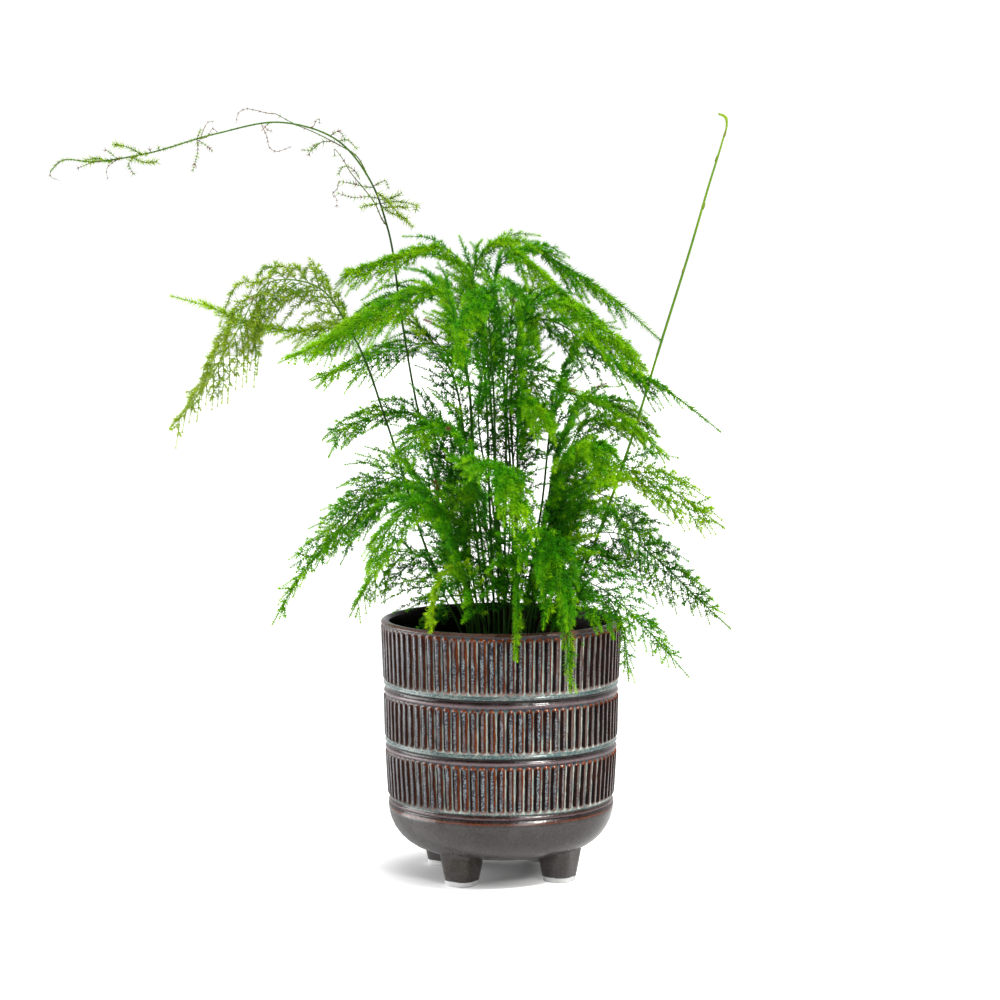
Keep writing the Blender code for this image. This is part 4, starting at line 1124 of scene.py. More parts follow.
SPRIG_FINER = 0.25  # how much finer the needles get along a branch
WHORL_SMALLER = 0.3  # and how much smaller the whorls on its own stalk
FROND_YOUNGER = 0.35  # how much younger the far branches of a frond are
BRUSH_YOUNGER = 0.5  # and its brush
SPRIG_AGE_JITTER = 0.12
Z = np.array([0.0, 0.0, 1.0])


class Stamps:
    """Collects where each pattern goes, so that all its copies are made at once."""

    def __init__(self):
        self.lists = {}

    def put(self, kinds, dice, place, x, up, size, age, dry):
        number = dice.randrange(len(kinds))
        pattern = kinds[number]
        y = unit(np.cross(up, x))
        frame = np.stack([x, y, np.cross(x, y)], 1) * size
        rows = self.lists.setdefault((id(kinds), number), (pattern, [], [], [], []))
        for row, value in zip(rows[1:], (place, frame, age, dry)):
            row.append(value)

    def grow_into(self, growth):
        for pattern, places, frames, ages, dries in self.lists.values():
            growth.stamp(pattern, places, frames, ages, dries)


def put_sprig(stamps, dice, place, x, up, length, age, dry, fineness):
    """The pattern that comes nearest in length once its needles have the right fineness, scaled to fit."""
    nearest = min(SPRIG_LENGTHS, key=lambda listed: abs(listed * fineness - length))
    stamps.put(SPRIGS[nearest], dice, place, x, up, length / nearest, age, dry)


def put_whorl(stamps, dice, line, distance, age, dry, size):
    """A loose whorl round a stalk, turned any way."""
    x = line.direction(distance)
    any_up = turned_about(x, unit(np.cross(x, (0.3, 0.5, 0.81))), dice.uniform(0, math.tau))
    stamps.put(WHORLS, dice, line.at(distance), x, any_up, size * dice.uniform(0.85, 1.1), age, dry)


def grow_branch(growth, stamps, dice, root, outward, onward, up, length, habit, age):
    """A side branch with sprigs by turns on its two sides, and whorls of needles on its own stalk."""
    middle = root + outward * length / 2 + up * habit["droop"] * length / 8
    end = middle + onward * length / 2 - Z * habit["droop"] * length
    line = Line(smooth_curve([root, middle, end], outward))
    bare_end = max(line.length - END_SPRIG, line.length * 0.4)
    marks = np.linspace(0, bare_end, max(3, round(bare_end / 0.006)))
    growth.tube(line.at(marks), np.linspace(*BRANCH_RADII, len(marks)), 3, age=age, stalk=0.55)
    side = dice.choice((-1, 1))
    place = habit["sprig_spacing"] * dice.uniform(0.7, 1.1)
    while place < bare_end:
        share = place / line.length
        x = line.direction(place)
        normal = unit(up - x * (up @ x))
        longest = habit["sprig"] * min(1, 0.55 + 2 * share) * (1 - share) ** SPRIG_TAPER
        reach = longest * dice.uniform(0.75, 1.1)
        angle = SPRIG_ANGLE[0] + (SPRIG_ANGLE[1] - SPRIG_ANGLE[0]) * share + dice.uniform(-0.12, 0.12)
        lift = dice.gauss(0, OFF_PLANE)
        away = unit(np.cross(normal, x) * side * math.cos(lift) + normal * math.sin(lift))
        heading = unit(x * math.cos(angle) + away * math.sin(angle))
        dry = habit["dry"] > dice.random()
        sprig_age = age + habit["tip_age"] * share**1.5 + dice.gauss(0, SPRIG_AGE_JITTER)
        if reach > SHORTEST_SPRIG:
            fineness = 1 - SPRIG_FINER * share
            put_sprig(stamps, dice, line.at(place), heading, normal, reach, sprig_age, dry, fineness)
        side = -side
        place += habit["sprig_spacing"] * dice.uniform(0.8, 1.2)
    place = habit["first_needles"]
    while place < bare_end:
        share = place / line.length
        put_whorl(stamps, dice, line, place, age + habit["tip_age"] * share, 0.0, 1 - WHORL_SMALLER * share)
        place += AXIS_WHORL_SPACING * dice.uniform(0.8, 1.2)
    x = line.direction(bare_end)
    put_sprig(stamps, dice, line.at(bare_end), x, unit(up - x * (up @ x)), line.length - bare_end + 0.001,
              age + habit["tip_age"], habit["dry"] > dice.random(), END_FINENESS)


# %% A whole frond
def stem_line(frond):
    """The whole stem: straight up out of the soil, then along its path."""
    x, y = frond["foot"]
    surface = (x, y, SOIL_SURFACE + STRAIGHT_ABOVE_SOIL)
    return Line(np.concatenate([[(x, y, STEM_ROOT)], smooth_curve([surface, *frond["path"]], (0, 0, 1))]))


def branch_reach(frond, share, taper):
    widening = BASE_SHARE + (1 - BASE_SHARE) * min(1, share / WIDEST_AT)
    return max(SHORTEST_BRANCH, frond["reach"] * widening * (1 - share) ** taper)


def grow_stem(growth, line, leafy_from, radii, sides, age):
    """Thick, dark and bare below; thin and green where the needles hide it."""
    marks = np.append(np.arange(0, line.length - 0.002, 0.004), line.length)
    shares = marks / line.length
    places = (0, leafy_from, leafy_from + 0.15, 1)
    growth.tube(line.at(marks), np.interp(shares, places, radii), sides, age=np.full(len(marks), age),
                stalk=np.interp(shares, places, (1, 1, 0.5, 0.4)))


def grow_frond(name, frond):
    """Stem, side branches in the frond's own plane, and the brush at its end."""
    dice = random.Random(name)
    habit = HABIT | HABITS[name]
    growth, stamps = Growth(), Stamps()
    line = stem_line(frond)
    grow_stem(growth, line, frond["bare"], STEM_RADII, 6, habit["age"])
    start = line.length * frond["bare"]
    leafy = line.length - start
    brush_from = line.length - habit["brush"]
    count = round((brush_from - start) / habit["spacing"])
    lean = dice.uniform(-1, 1) * math.radians(habit["lean"])
    for number in range(count):
        place = start + (brush_from - start) * (number + dice.uniform(0.25, 0.75)) / count
        share = (place - start) / leafy
        side = 1 if number % 2 else -1
        along = line.direction(place)
        level = unit(np.cross(along, Z))
        roll = math.radians(np.interp(share, (0, TURNED_BY), habit["roll"])) + lean
        level = turned_about(along, level, roll) * side
        hang = math.radians(np.interp(share, (0, TURNED_BY), np.broadcast_to(habit["hang"], 2)))
        level = turned_about(along, level, hang * side)
        up = np.cross(level, along) * side
        angle = math.radians(np.interp(share, SWEPT_AT, habit["angle"])) + dice.uniform(-0.1, 0.1)
        away = turned_about(along, level, dice.gauss(0, OFF_PLANE))
        outward = along * math.cos(angle) + away * math.sin(angle)
        onward = unit(outward + along * BRANCH_FORWARD)
        length = branch_reach(frond, share, habit["taper"]) * (1 + dice.uniform(-0.2, 0.1))
        if dice.random() < habit["stunted"]:
            length *= dice.uniform(0.4, 0.7)
        age = habit["age"] + FROND_YOUNGER * share**2 + dice.gauss(0, habit["age_jitter"])
        grow_branch(growth, stamps, dice, line.at(place), outward, onward, up, length, habit, age)
    place = line.length - max(habit["brush"], 0.4 * leafy)
    while place < line.length:
        share = (place - start) / leafy
        size = np.interp(line.length - place, (0, 0.020), (0.55, 1))
        put_whorl(stamps, dice, line, place, habit["age"] + BRUSH_YOUNGER * share**2, 0.0, size)
        place += AXIS_WHORL_SPACING * dice.uniform(0.55, 0.85)
    place = line.length - 0.003
    put_sprig(stamps, dice, line.at(place), line.direction(place), up, 0.004,
              habit["age"] + BRUSH_YOUNGER, 0.0, END_FINENESS)
    stamps.grow_into(growth)
    return growth


print("a frond has a branch every", BRANCH_SPACING * 1000, "mm")

# %% [markdown]
# ## The green of a needle
#
# A needle is dark when it is old, bright green when it is grown and almost yellow when it is new, and a few
# old sprigs dry to a reddish brown. One group mixes these from the numbers that each point keeps. The four
# materials differ in their three greens, and the shoot is a little glossier.

# %% A group for the leaf colour
STALK_GREEN = (0.020, 0.062, 0.008)
DRY_BROWN = (0.190, 0.095, 0.035)
YOUNG_FROM = 0.40  # the age value where mature green starts to turn young
YOUNG_AT = 0.95
AGE_DRIFT = 0.55  # how far the age wanders over the plant

leaf, leaf_in, leaf_out = new_group(
    "leaf_colour", {"Place": "Vector", "Old": "Color", "Mature": "Color", "Young": "Color"},
    {"Color": "Color"},
)
place, old, mature, young = (leaf_in.outputs[name] for name in ("Place", "Old", "Mature", "Young"))
drift = reckon(leaf, "SUBTRACT", noise_at(leaf, place, 55.0, 2.0), 0.5)
age = reckon(leaf, "ADD", attribute(leaf, "age"), times(leaf, drift, AGE_DRIFT))
leaf_shade = blend(leaf, spread(leaf, age, 0.0, YOUNG_FROM), old, mature)
leaf_shade = blend(leaf, spread(leaf, age, YOUNG_FROM, YOUNG_AT), leaf_shade, young)
leaf_shade = blend(leaf, attribute(leaf, "stalk"), leaf_shade, STALK_GREEN)
leaf_shade = blend(leaf, attribute(leaf, "dry"), leaf_shade, DRY_BROWN)
leaf.links.new(leaf_shade, leaf_out.inputs["Color"])
print("group:", leaf.name)

# %% The four leaf materials
LEAF_SHINE = 0.06
GREENS = {  # name, roughness, and the old, mature and young colour
    "green": ("needle_green", 0.5, (0.002, 0.045, 0.001), (0.044, 0.290, 0.001), (0.290, 0.600, 0.002)),
    "young": ("needle_young", 0.5, (0.008, 0.100, 0.002), (0.080, 0.345, 0.002), (0.370, 0.620, 0.005)),
    "olive": ("needle_olive", 0.5, (0.030, 0.110, 0.010), (0.120, 0.300, 0.016), (0.330, 0.480, 0.030)),
    "shoot": ("shoot_green", 0.36, (0.040, 0.120, 0.008), (0.075, 0.200, 0.012), (0.260, 0.400, 0.020)),
}


def leaf_material(name, roughness, old, mature, young):
    material, tree, shader = new_material(name, roughness)
    place = place_on_plant(tree)
    colour = use_group(tree, leaf, Place=place, Old=(*old, 1), Mature=(*mature, 1), Young=(*young, 1))
    tree.links.new(colour, shader.inputs["Base Color"])
    shader.inputs["Specular IOR Level"].default_value = LEAF_SHINE
    return material


LEAF_MATERIALS = {slot: leaf_material(*greens) for slot, greens in GREENS.items()}
print(len(LEAF_MATERIALS), "greens")

# %% [markdown]
# ## The fronds
#
# Thirty-five fronds make three layers. The stems below are the ones of the measured model, given in
# millimetres on the pot's own axes: where each leaves the soil, how much of it is bare, how far its longest
# branch reaches, and the points it passes through. Bare shares and reaches differ a little from the
# measured model's, because many branches fill a frond in another way than five. What differs from frond to
# frond in the photograph is in the table of habits: a frond seen face-on is rolled, an old one has dry
# sprigs, and a long one ends in a plain brush.

# %% Where the stems go
# In millimetres from the pot's axis: the foot, the bare share, the reach and the points of the path
STEMS = {
    "frond_left_drooping": ((-17, -6), 0.56, 47, (
        (-46, -12, 205), (-70, -14, 283), (-90, -15, 336), (-114, -15, 368), (-141, -14, 370),
        (-161, -13, 341), (-182, -12, 306), (-203, -11, 281),
    )),
    "frond_left_sagging": ((-10, 11), 0.54, 28, (
        (-20, 20, 240), (-38, 22, 325), (-60, 18, 347), (-88, 13, 344), (-125, 9, 339), (-160, 6, 345),
        (-180, 4, 354), (-204, 3, 361),
    )),
    "frond_top_left": ((-4, 4), 0.56, 50, (
        (-7, 6, 230), (-12, 6, 330), (-20, 5, 376), (-36, 2, 391), (-56, -2, 388), (-76, -6, 382),
        (-98, -10, 374),
    )),
    "frond_top_right": ((3, -4), 0.52, 46, (
        (-2, -9, 230), (-9, -12, 330), (-14, -14, 384), (-2, -22, 395), (14, -34, 384), (34, -48, 366),
        (55, -60, 345),
    )),
    "frond_upper_left": ((-9, -12), 0.52, 52, (
        (-17, -26, 235), (-23, -34, 325), (-38, -40, 366), (-65, -46, 358), (-98, -50, 339),
        (-134, -52, 322),
    )),
    "frond_upper_left_back": ((-7, 17), 0.54, 50, (
        (-16, 32, 240), (-24, 46, 325), (-36, 56, 362), (-62, 66, 360), (-94, 74, 342), (-124, 80, 317),
    )),
    "frond_upper_right": ((8, 10), 0.5, 46, (
        (6, 26, 250), (0, 36, 340), (0, 42, 383), (18, 46, 391), (38, 48, 380), (70, 50, 359),
        (102, 52, 331),
    )),
    "frond_right_long": ((10, -3), 0.56, 46, (
        (9, -6, 230), (8, -8, 315), (16, -10, 347), (34, -13, 345), (58, -17, 328), (82, -21, 315),
        (107, -25, 300), (134, -29, 279),
    )),
    "frond_upper_right_front": ((9, -13), 0.42, 46, (
        (10, -28, 240), (12, -43, 325), (18, -56, 358), (38, -66, 357), (62, -76, 341), (86, -84, 319),
    )),
    "frond_upper_front": ((-1, -14), 0.5, 42, (
        (-3, -32, 240), (-6, -52, 330), (-10, -74, 364), (-16, -100, 358), (-22, -124, 342),
        (-26, -142, 322),
    )),
    "frond_upper_back": ((2, 18), 0.5, 52, (
        (3, 38, 240), (5, 60, 325), (9, 84, 362), (14, 108, 358), (20, 130, 340), (26, 148, 318),
    )),
    "frond_upper_right_back": ((14, 13), 0.48, 50, (
        (26, 34, 230), (38, 54, 305), (52, 72, 332), (72, 88, 328), (94, 104, 306),
    )),
    "frond_middle_right": ((4, -9), 0.4, 50, (
        (-4, -16, 225), (-13, -20, 300), (-8, -23, 321), (10, -27, 318), (33, -32, 306), (56, -36, 298),
        (80, -39, 283), (102, -42, 263),
    )),
    "frond_middle_left": ((-17, 9), 0.46, 48, (
        (-25, 10, 230), (-28, 14, 305), (-38, 17, 330), (-60, 18, 329), (-90, 16, 319), (-118, 13, 308),
    )),
    "frond_left_low_arch": ((-18, -1), 0.44, 50, (
        (-28, -3, 210), (-36, -4, 266), (-48, -6, 287), (-66, -9, 290), (-88, -14, 284), (-107, -19, 272),
    )),
    "frond_middle_right_back": ((17, 8), 0.38, 52, (
        (27, 18, 210), (38, 28, 270), (52, 36, 294), (74, 42, 290), (100, 48, 270),
    )),
    "frond_lower_left": ((-19, -10), 0.3, 56, (
        (-28, -19, 190), (-38, -27, 236), (-54, -33, 249), (-78, -38, 237), (-102, -42, 216),
        (-122, -44, 192), (-139, -46, 163),
    )),
    "frond_lower_left_back": ((-16, 14), 0.26, 56, (
        (-32, 28, 195), (-48, 44, 236), (-68, 58, 244), (-92, 70, 226), (-116, 82, 192),
    )),
    "frond_low_left": ((-22, 0), 0.26, 48, (
        (-34, -1, 172), (-48, -3, 199), (-64, -6, 203), (-80, -9, 187), (-94, -12, 163),
    )),
    "frond_lower_right": ((19, -3), 0.28, 58, (
        (31, -11, 200), (46, -19, 245), (66, -26, 258), (88, -31, 252), (112, -35, 238), (136, -39, 221),
    )),
    "frond_lower_right_long": ((21, 3), 0.26, 56, (
        (35, 3, 182), (52, 2, 212), (72, -1, 214), (96, -5, 199), (119, -10, 177), (142, -15, 156),
    )),
    "frond_low_right_front": ((18, -12), 0.24, 54, (
        (29, -25, 165), (44, -40, 190), (62, -52, 185), (84, -60, 166), (113, -66, 134),
    )),
    "frond_droop_front": ((4, -20), 0.3, 30, (
        (6, -34, 172), (8, -52, 205), (10, -70, 202), (10, -84, 180), (8, -92, 148),
    )),
    "frond_droop_front_right": ((11, -19), 0.3, 34, (
        (18, -35, 170), (27, -55, 198), (35, -73, 192), (39, -86, 166), (41, -93, 129),
    )),
    "frond_droop_front_left": ((-6, -20), 0.32, 26, (
        (-14, -36, 172), (-24, -55, 199), (-34, -72, 198), (-40, -84, 184), (-42, -91, 164),
    )),
    "frond_droop_right": ((22, -16), 0.3, 36, (
        (36, -28, 160), (51, -41, 181), (65, -52, 178), (74, -60, 157), (77, -64, 131),
    )),
    "frond_bush_right_front": ((14, -8), 0.26, 60, (
        (26, -26, 205), (38, -46, 256), (49, -64, 274), (58, -82, 271), (62, -98, 255),
    )),
    "frond_bush_front": ((-3, -9), 0.24, 56, (
        (-6, -30, 205), (-7, -56, 252), (-4, -80, 264), (4, -102, 256), (14, -120, 239),
    )),
    "frond_bush_front_left": ((-13, -15), 0.26, 50, (
        (-24, -36, 195), (-36, -58, 234), (-50, -76, 241), (-65, -90, 228), (-79, -102, 202),
    )),
    "frond_bush_low_front": ((7, -14), 0.26, 56, (
        (13, -34, 186), (21, -58, 221), (28, -80, 222), (33, -96, 205), (35, -106, 182),
    )),
    "frond_bush_back": ((-3, 22), 0.24, 54, (
        (-8, 46, 196), (-14, 72, 234), (-20, 96, 238), (-24, 118, 220), (-26, 136, 190),
    )),
    "frond_bush_right_back": ((12, 20), 0.25, 54, (
        (28, 44, 192), (46, 66, 228), (66, 84, 230), (86, 98, 210), (104, 110, 180),
    )),
    "frond_inner_front": ((2, 9), 0.25, 56, (
        (5, 3, 205), (8, -1, 262), (15, -26, 296), (21, -52, 298), (27, -76, 284),
    )),
    "frond_inner_left": ((-12, -5), 0.32, 56, (
        (-19, -12, 200), (-24, -22, 262), (-32, -36, 284), (-46, -52, 282), (-62, -66, 264),
    )),
    "frond_inner_right": ((17, -4), 0.29, 54, (
        (28, -7, 205), (40, -10, 262), (55, -12, 285), (74, -14, 282), (94, -15, 264),
    )),
    "stem_arching": ((-12, 4), 1.0, 0, (
        (-30, 6, 210), (-52, 6, 292), (-62, 5, 350), (-70, 4, 403), (-80, 2, 431), (-100, 0, 456),
        (-133, -2, 467), (-175, -4, 460), (-217, -6, 448), (-250, -7, 443), (-270, -8, 443),
        (-275.5, -8, 437),
    )),
    "stem_young_shoot": ((26, 6), 1.0, 0, (
        (38, 8, 160), (59, 9, 208), (80, 9, 268), (100, 9, 334), (118, 8, 393), (128, 8, 428),
        (137, 8, 458), (139, 7, 466), (138, 6, 471), (134, 6, 472.5),
    )),
}
FRONDS = {
    name: dict(foot=[value / 1000 for value in foot], bare=bare, reach=reach / 1000,
               path=[tuple(value / 1000 for value in point) for point in path])
    for name, (foot, bare, reach, path) in STEMS.items()
}
print(len(FRONDS), "stems")

# %% How each frond differs
HABIT = dict(
    age=0.20,  # of the oldest needles, from 0 for old to 1 for new
    age_jitter=0.09,
    tip_age=0.22,  # how much younger the end of a branch is
    spacing=BRANCH_SPACING,
    angle=(80, 48, 24),  # degrees between branch and stem at the frond's base, further out and at its end
    droop=0.18,  # how far a branch's end sinks, as a share of its length
    taper=0.52,  # how early the branches get shorter: low for a broad frond, high for a pointed one
    sprig=0.0135,  # the longest side shoot
    sprig_spacing=SPRIG_SPACING,
    first_needles=0.004,  # bare root of a branch
    brush=0.010,  # plain brush at the end of the frond
    roll=(0, 0),  # degrees that the frond's plane is turned, at its base and further out
    lean=12,  # at most this many degrees more, either way
    hang=22,  # degrees that each side hangs below the frond's plane, or a pair like the roll
    dry=0.002,  # share of sprigs that have dried
    stunted=0.12,  # share of branches that stayed short
    slot="green",
)
UPPER = dict(age=0.26, angle=(58, 34, 18), sprig=0.0108, spacing=0.0035, droop=0.26)  # swept forward
DROOPING = dict(hang=12, sprig=0.0085, angle=(60, 28, 16), taper=1.1, slot="young")  # hangs over the rim
HABITS = {
    "frond_left_drooping": dict(age=0.58, roll=(-42, -80), hang=(66, 34), lean=2, angle=(60, 40, 28),
                                sprig=0.0105, dry=0.010, slot="olive", brush=0.006, spacing=0.0034,
                                droop=0.70, taper=0.75),
    "frond_left_sagging": dict(age=0.58, roll=(-25, -35), lean=2, hang=10, angle=(34, 24, 16), sprig=0.0085,
                               dry=0.008, slot="young", brush=0.024, spacing=0.0032),
    "frond_top_left": dict(UPPER, age=0.40, roll=(-62, -22), hang=(50, 50), taper=0.40),
    "frond_top_right": dict(UPPER, age=0.37, roll=(52, 20), hang=(50, 34)),
    "frond_upper_left": dict(UPPER, age=0.33, roll=(-70, -40), hang=(32, 20), dry=0.006, taper=0.66),
    "frond_upper_left_back": dict(UPPER, age=0.30, roll=(65, 40), hang=30, dry=0.006),
    "frond_upper_right": dict(UPPER, age=0.22, roll=(60, 20), hang=36, brush=0.045),
    "frond_right_long": dict(UPPER, age=0.21, roll=(-70, -30), hang=24, brush=0.055),
    "frond_upper_right_front": dict(UPPER, age=0.27, roll=(75, 25), hang=36),
    "frond_upper_front": dict(UPPER, age=0.18, roll=(24, 16), hang=22, taper=0.8),
    "frond_upper_back": dict(UPPER, age=0.18, roll=(50, 40), hang=22),
    "frond_upper_right_back": dict(UPPER, age=0.18, roll=(-58, -46), hang=24),
    "frond_middle_right": dict(UPPER, age=0.22, roll=(75, 45), hang=26, taper=0.95),
    "frond_middle_left": dict(UPPER, age=0.24, roll=(-75, -40), hang=26),
    "frond_left_low_arch": dict(UPPER, age=0.20, roll=(-42, -50), hang=26),
    "frond_middle_right_back": dict(UPPER, age=0.18, roll=(-60, -50), hang=22),
    "frond_lower_left": dict(roll=(-56, -66), hang=(4, -20), angle=(80, 40, 16), droop=0.06, taper=0.80),
    "frond_lower_left_back": dict(roll=(56, 60), hang=18),
    "frond_low_left": dict(age=0.24, roll=(-40, -50), hang=(70, 56), sprig=0.0110, angle=(84, 68, 34),
                           droop=0.40, taper=0.9, spacing=0.0033),
    "frond_lower_right": dict(age=0.28, roll=(50, 76), hang=(22, 6), angle=(80, 40, 15),
                              slot="young", brush=0.016),
    "frond_lower_right_long": dict(age=0.16, roll=(-45, -60), hang=(30, 12), angle=(84, 66, 20), brush=0.018,
                                   taper=0.80, spacing=0.0034),
    "frond_low_right_front": dict(age=0.16, roll=(45, 48), hang=(28, 8), angle=(80, 56, 24), sprig=0.0120,
                                  brush=0.014, droop=0.16, taper=0.95, spacing=0.0034),
    "frond_droop_front": dict(DROOPING, age=0.16, roll=(0, 50), slot="green"),
    "frond_droop_front_right": dict(DROOPING, age=0.04, roll=(0, 50)),
    "frond_droop_front_left": dict(DROOPING, age=0.34, roll=(0, 50)),
    "frond_droop_right": dict(DROOPING, age=0.16, roll=(30, 50), slot="green"),
    "frond_bush_right_front": dict(roll=(24, 14), hang=(30, 38), droop=0.35, spacing=0.0036),
    "frond_bush_front": dict(age=0.16, roll=(-4, -10), hang=(36, 26), taper=0.28, spacing=0.0036),
    "frond_bush_front_left": dict(roll=(-18, -22), hang=46),
    "frond_bush_low_front": dict(age=0.09, hang=(28, 44), droop=0.34, taper=0.40),
    "frond_bush_back": dict(age=0.12, roll=(50, 44), hang=20),
    "frond_bush_right_back": dict(age=0.12, roll=(-56, -50), hang=20),
    "frond_inner_front": dict(age=0.12, roll=(-6, -10), hang=(20, 38), droop=0.35,
                              spacing=0.0034, taper=0.42),
    "frond_inner_left": dict(age=0.14, roll=(-50, -26), hang=40),
    "frond_inner_right": dict(age=0.14, roll=(60, 44), hang=(36, 50), taper=0.7),
}
print(len(HABITS), "fronds with a habit of their own")

# %% Growing them
frond_faces = 0
for name, frond in FRONDS.items():
    if not name.startswith("frond"):
        continue
    slot = (HABIT | HABITS[name])["slot"]
    spray = grow_frond(name, frond).piece(name.replace("frond", "spray"), LEAF_MATERIALS[slot])
    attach(spray, "root")
    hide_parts(name)
    frond_faces += len(spray.data.polygons)
    print(spray.name, len(spray.data.polygons), "faces")
print("all fronds:", frond_faces, "faces")

# %% [markdown]
# ## The long arching stem
#
# One stem has outgrown the rest and arches far to the left. It is nearly bare: here and there it has a twig
# with a few yellow-green needles, and the ends of most twigs have died to dark, curling threads. Nothing
# repeats, so every twig is a short list of points read from the photograph, with the state of its needles.

# %% The twigs of the long stem
TENTHS = 10000  # tenths of a millimetre in a metre
# How a twig is clothed, how far behind the pot's axis its two ends lie, and its points across and up, in
# tenths of a millimetre
ARCH_TWIGS = (
    # The second arm, which leaves low and passes behind the first
    ("thin", (40, 100), ((-705, 4035), (-724, 4065), (-779, 4181), (-856, 4281), (-926, 4366), (-987, 4466),
     (-1029, 4512), (-1026, 4471))),
    ("thin", (20, 120), ((-820, 4330), (-887, 4466), (-1011, 4543), (-1165, 4620), (-1266, 4662),
     (-1390, 4728))),
    ("dead", (120, 160), ((-1390, 4728), (-1444, 4733), (-1521, 4752), (-1583, 4759), (-1622, 4736),
     (-1640, 4670))),
    # Sprigs on the right
    ("green", (20, -120), ((-779, 4250), (-701, 4196), (-624, 4111), (-539, 4034))),
    ("green", (30, -40), ((-740, 4204), (-670, 4212), (-608, 4243))),
    ("green", (30, 100), ((-732, 4181), (-655, 4189), (-547, 4173), (-519, 4162), (-528, 4138))),
    ("green", (30, -80), ((-724, 4150), (-655, 4158), (-577, 4153))),
    ("sparse", (20, -60), ((-794, 4281), (-748, 4301), (-709, 4317), (-689, 4266))),
    ("sparse", (0, -50), ((-987, 4570), (-941, 4566), (-887, 4512))),
    ("sparse", (0, 50), ((-1042, 4597), (-995, 4620), (-972, 4590))),
    ("green", (30, -100), ((-745, 4170), (-701, 4135), (-639, 4104), (-570, 4081))),
    # Sprigs on the left
    ("sparse", (40, -80), ((-765, 4205), (-817, 4219), (-902, 4212), (-995, 4239))),
    ("sparse", (40, 80), ((-800, 4265), (-841, 4281), (-933, 4304), (-1003, 4312))),
    ("dead", (80, 60), ((-1003, 4312), (-1011, 4266), (-1042, 4235), (-1015, 4209), (-1014, 4150))),
    ("green", (40, -40), ((-740, 4180), (-779, 4173), (-825, 4165), (-856, 4150))),
    ("sparse", (60, 120), ((-1010, 4545), (-1042, 4559), (-1119, 4548), (-1165, 4523), (-1189, 4471))),
    ("sparse", (100, 40), ((-1119, 4548), (-1173, 4505), (-1220, 4505))),
    ("sparse", (60, 120), ((-870, 4325), (-887, 4358), (-949, 4405), (-987, 4397), (-1003, 4358))),
    # Curled threads under the top of the arch
    ("dead", (-30, -120), ((-1467, 4656), (-1432, 4582), (-1416, 4517), (-1374, 4492), (-1320, 4505),
     (-1277, 4523))),
    ("dead", (-30, 60), ((-1390, 4670), (-1421, 4667), (-1452, 4644), (-1475, 4620))),
    ("dead", (60, 40), ((-1452, 4644), (-1436, 4628), (-1413, 4620))),
    ("dead", (-10, -60), ((-1180, 4640), (-1150, 4644), (-1127, 4690), (-1107, 4687), (-1111, 4667))),
    # The knot of twigs half way out
    ("sparse", (-40, -70), ((-1862, 4566), (-1849, 4597), (-1831, 4628))),
    ("dead", (-40, 40), ((-1845, 4602), (-1815, 4644), (-1792, 4678), (-1772, 4678))),
    ("dead", (-40, 20), ((-1862, 4566), (-1800, 4582), (-1766, 4636), (-1746, 4616))),
    ("sparse", (-40, -80), ((-1862, 4566), (-1854, 4508), (-1868, 4435), (-1888, 4366))),
    ("sparse", (-40, -100), ((-1862, 4560), (-1800, 4528), (-1761, 4494))),
    # The far end
    ("green", (-60, -120), ((-2140, 4490), (-2187, 4477), (-2272, 4517), (-2365, 4536))),
    ("sparse", (-60, 20), ((-2300, 4455), (-2357, 4455), (-2403, 4492), (-2434, 4505))),
    ("dead", (-60, -100), ((-2310, 4452), (-2357, 4437), (-2411, 4381), (-2403, 4332))),
    ("sparse", (-60, 20), ((-2210, 4470), (-2249, 4459), (-2287, 4415), (-2256, 4351))),
    ("green", (-60, -140), ((-2280, 4458), (-2241, 4451), (-2187, 4428), (-2094, 4431))),
    ("sparse", (-70, -120), ((-2440, 4435), (-2496, 4425), (-2550, 4405), (-2589, 4388))),
    ("green", (-60, 0), ((-2370, 4440), (-2403, 4431), (-2465, 4451), (-2550, 4443))),
    ("dead", (-80, -60), ((-2755, 4370), (-2759, 4343), (-2702, 4317))),
    ("sparse", (-60, -40), ((-2140, 4487), (-2150, 4498), (-2145, 4508))),
    ("sparse", (-60, -80), ((-2085, 4500), (-2095, 4510), (-2090, 4523))),
)
CLOTHING = {  # step between whorls, their size, age and share of dry ones, and the twig's two radii
    "green": dict(step=0.0013, size=0.95, age=0.75, dry=0.0, radii=(0.00030, 0.00016)),
    "sparse": dict(step=0.0021, size=0.75, age=0.55, dry=0.25, radii=(0.00028, 0.00014)),
    "thin": dict(step=0.0042, size=0.60, age=0.45, dry=0.30, radii=(0.00045, 0.00022)),
    "dead": dict(step=0.0036, size=0.50, age=0.10, dry=0.75, radii=(0.00026, 0.00012)),
}
FAR_BRUSH_FROM = 0.80  # share of the long stem past which it has small needles of its own
BARE_STEM_NEEDLES = 0.0050  # step between the few whorls before that
FAR_NEEDLES = 0.0016
NEAR_STEM = 0.004
ARCH_NEEDLES_FROM = 0.55
ARCH_RADII = (0.00085, 0.00066, 0.00056, 0.00040)


def bend_to_stem(line, points):
    """Starts a twig exactly on the stem when its first point lies within four millimetres of it."""
    marks = np.arange(0, line.length, 0.0005)
    away = np.linalg.norm(line.at(marks) - points[0], axis=1)
    if away.min() < NEAR_STEM:
        points[0] = line.at(marks[away.argmin()])
    return points


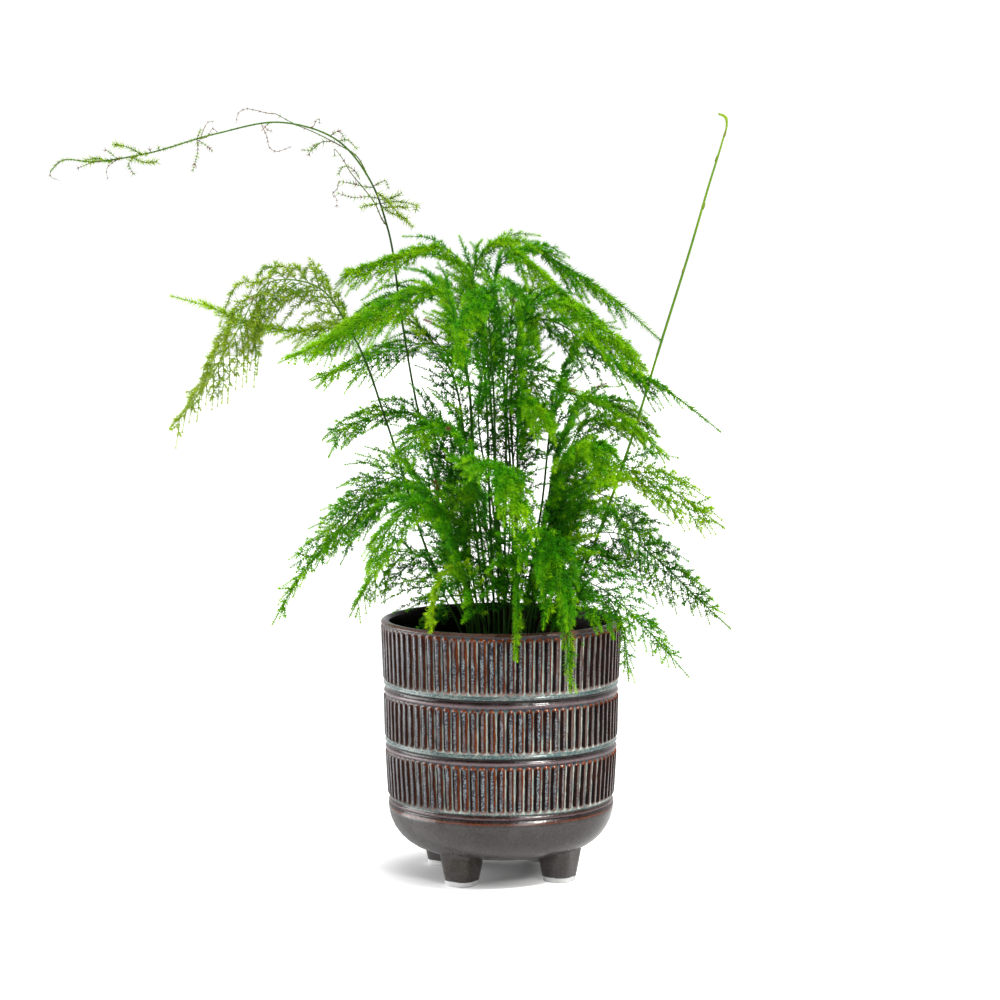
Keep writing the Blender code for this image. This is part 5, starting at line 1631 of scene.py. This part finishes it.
long_stem = Growth()
stamps = Stamps()
dice = random.Random("long stem")
line = stem_line(FRONDS["stem_arching"])
grow_stem(long_stem, line, ARCH_NEEDLES_FROM, ARCH_RADII, 6, 0.3)
place = line.length * ARCH_NEEDLES_FROM
while place < line.length - 0.001:
    far = place > line.length * FAR_BRUSH_FROM
    dry = 0.0 if dice.random() < 0.7 else 0.6
    put_whorl(stamps, dice, line, place, 0.6 if far else 0.35, dry, 0.62 if far else 0.42)
    place += (FAR_NEEDLES if far else BARE_STEM_NEEDLES) * dice.uniform(0.7, 1.4)
for state, (near_y, far_y), flat_points in ARCH_TWIGS:
    clothing = CLOTHING[state]
    depths = np.linspace(near_y / TENTHS, far_y / TENTHS, len(flat_points))
    points = [(x / TENTHS, y, z / TENTHS) for (x, z), y in zip(flat_points, depths)]
    points = bend_to_stem(line, np.array(points))
    twig = Line(smooth_curve(points, points[1] - points[0]))
    marks = np.linspace(0, twig.length, max(4, round(twig.length / 0.0012)))
    long_stem.tube(twig.at(marks), np.linspace(*clothing["radii"], len(marks)), 4, age=0.3, stalk=0.85,
                   dry=clothing["dry"])
    place = 0.002
    while place < twig.length:
        dry = 1.0 if dice.random() < clothing["dry"] else 0.0
        put_whorl(stamps, dice, twig, place, clothing["age"] + dice.uniform(-0.2, 0.2), dry,
                  clothing["size"] * dice.uniform(0.7, 1.15))
        place += clothing["step"] * dice.uniform(0.7, 1.3)
stamps.grow_into(long_stem)
arch = long_stem.piece("long_stem", LEAF_MATERIALS["olive"])
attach(arch, "root")
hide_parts("stem_arching")
print("long stem:", len(arch.data.polygons), "faces,", len(ARCH_TWIGS), "twigs")

# %% [markdown]
# ## The young shoot
#
# A new stem grows straight up before it opens. It is thicker and paler than the old ones, smooth, with a
# small papery scale at each joint, and it ends in a hooked bud.

# %% The shoot, its scales and its bud
SHOOT_RADII = (0.00095, 0.00085, 0.00075, 0.00055)
SCALE_PLACES = (0.30, 0.46, 0.60, 0.72, 0.83, 0.91, 0.955)  # shares of the shoot's length
SCALE_LENGTH = 0.0042
BUD_LENGTH = 0.010

shoot = Growth()
line = stem_line(FRONDS["stem_young_shoot"])
marks = np.append(np.arange(0, line.length - 0.001, 0.0025), line.length)
radii = np.interp(marks / line.length, (0, 0.5, 0.85, 1), SHOOT_RADII)
radii = radii + 0.00035 * np.exp(-((marks - line.length + BUD_LENGTH / 2) / (BUD_LENGTH / 2.5)) ** 2)
shoot_age = np.interp(marks / line.length, (0, 0.2, 0.9, 1), (0.15, 0.35, 0.6, 1.0))
shoot.tube(line.at(marks), radii, 10, age=shoot_age)
scale_dice = random.Random("scales")
for number, share in enumerate(SCALE_PLACES):
    place = line.length * share
    x = line.direction(place)
    turn = math.tau * number * 0.382 + scale_dice.uniform(-0.3, 0.3)
    out = turned_about(x, unit(np.cross(x, (0.2, 1.0, 0.1))), turn)
    radius = float(np.interp(place, marks, radii))
    root = line.at(place) + out * radius * 0.4
    steps = np.linspace(0, 1, 5)[:, None]
    centres = root + x * SCALE_LENGTH * steps + out * (radius * 0.9) * steps**0.7
    shoot.tube(centres, np.array([0.0007, 0.00075, 0.0006, 0.0004, 0.0001]), 6, age=0.7, dry=0.35)
bud_stamps = Stamps()
for number in range(5):
    place = line.length - 0.0012 * number
    put_whorl(bud_stamps, scale_dice, line, place, 1.0, 0.0, 0.35)
bud_stamps.grow_into(shoot)
new_shoot = shoot.piece("young_shoot", LEAF_MATERIALS["shoot"])
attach(new_shoot, "root")
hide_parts("stem_young_shoot")
print("shoot:", len(new_shoot.data.polygons), "faces")
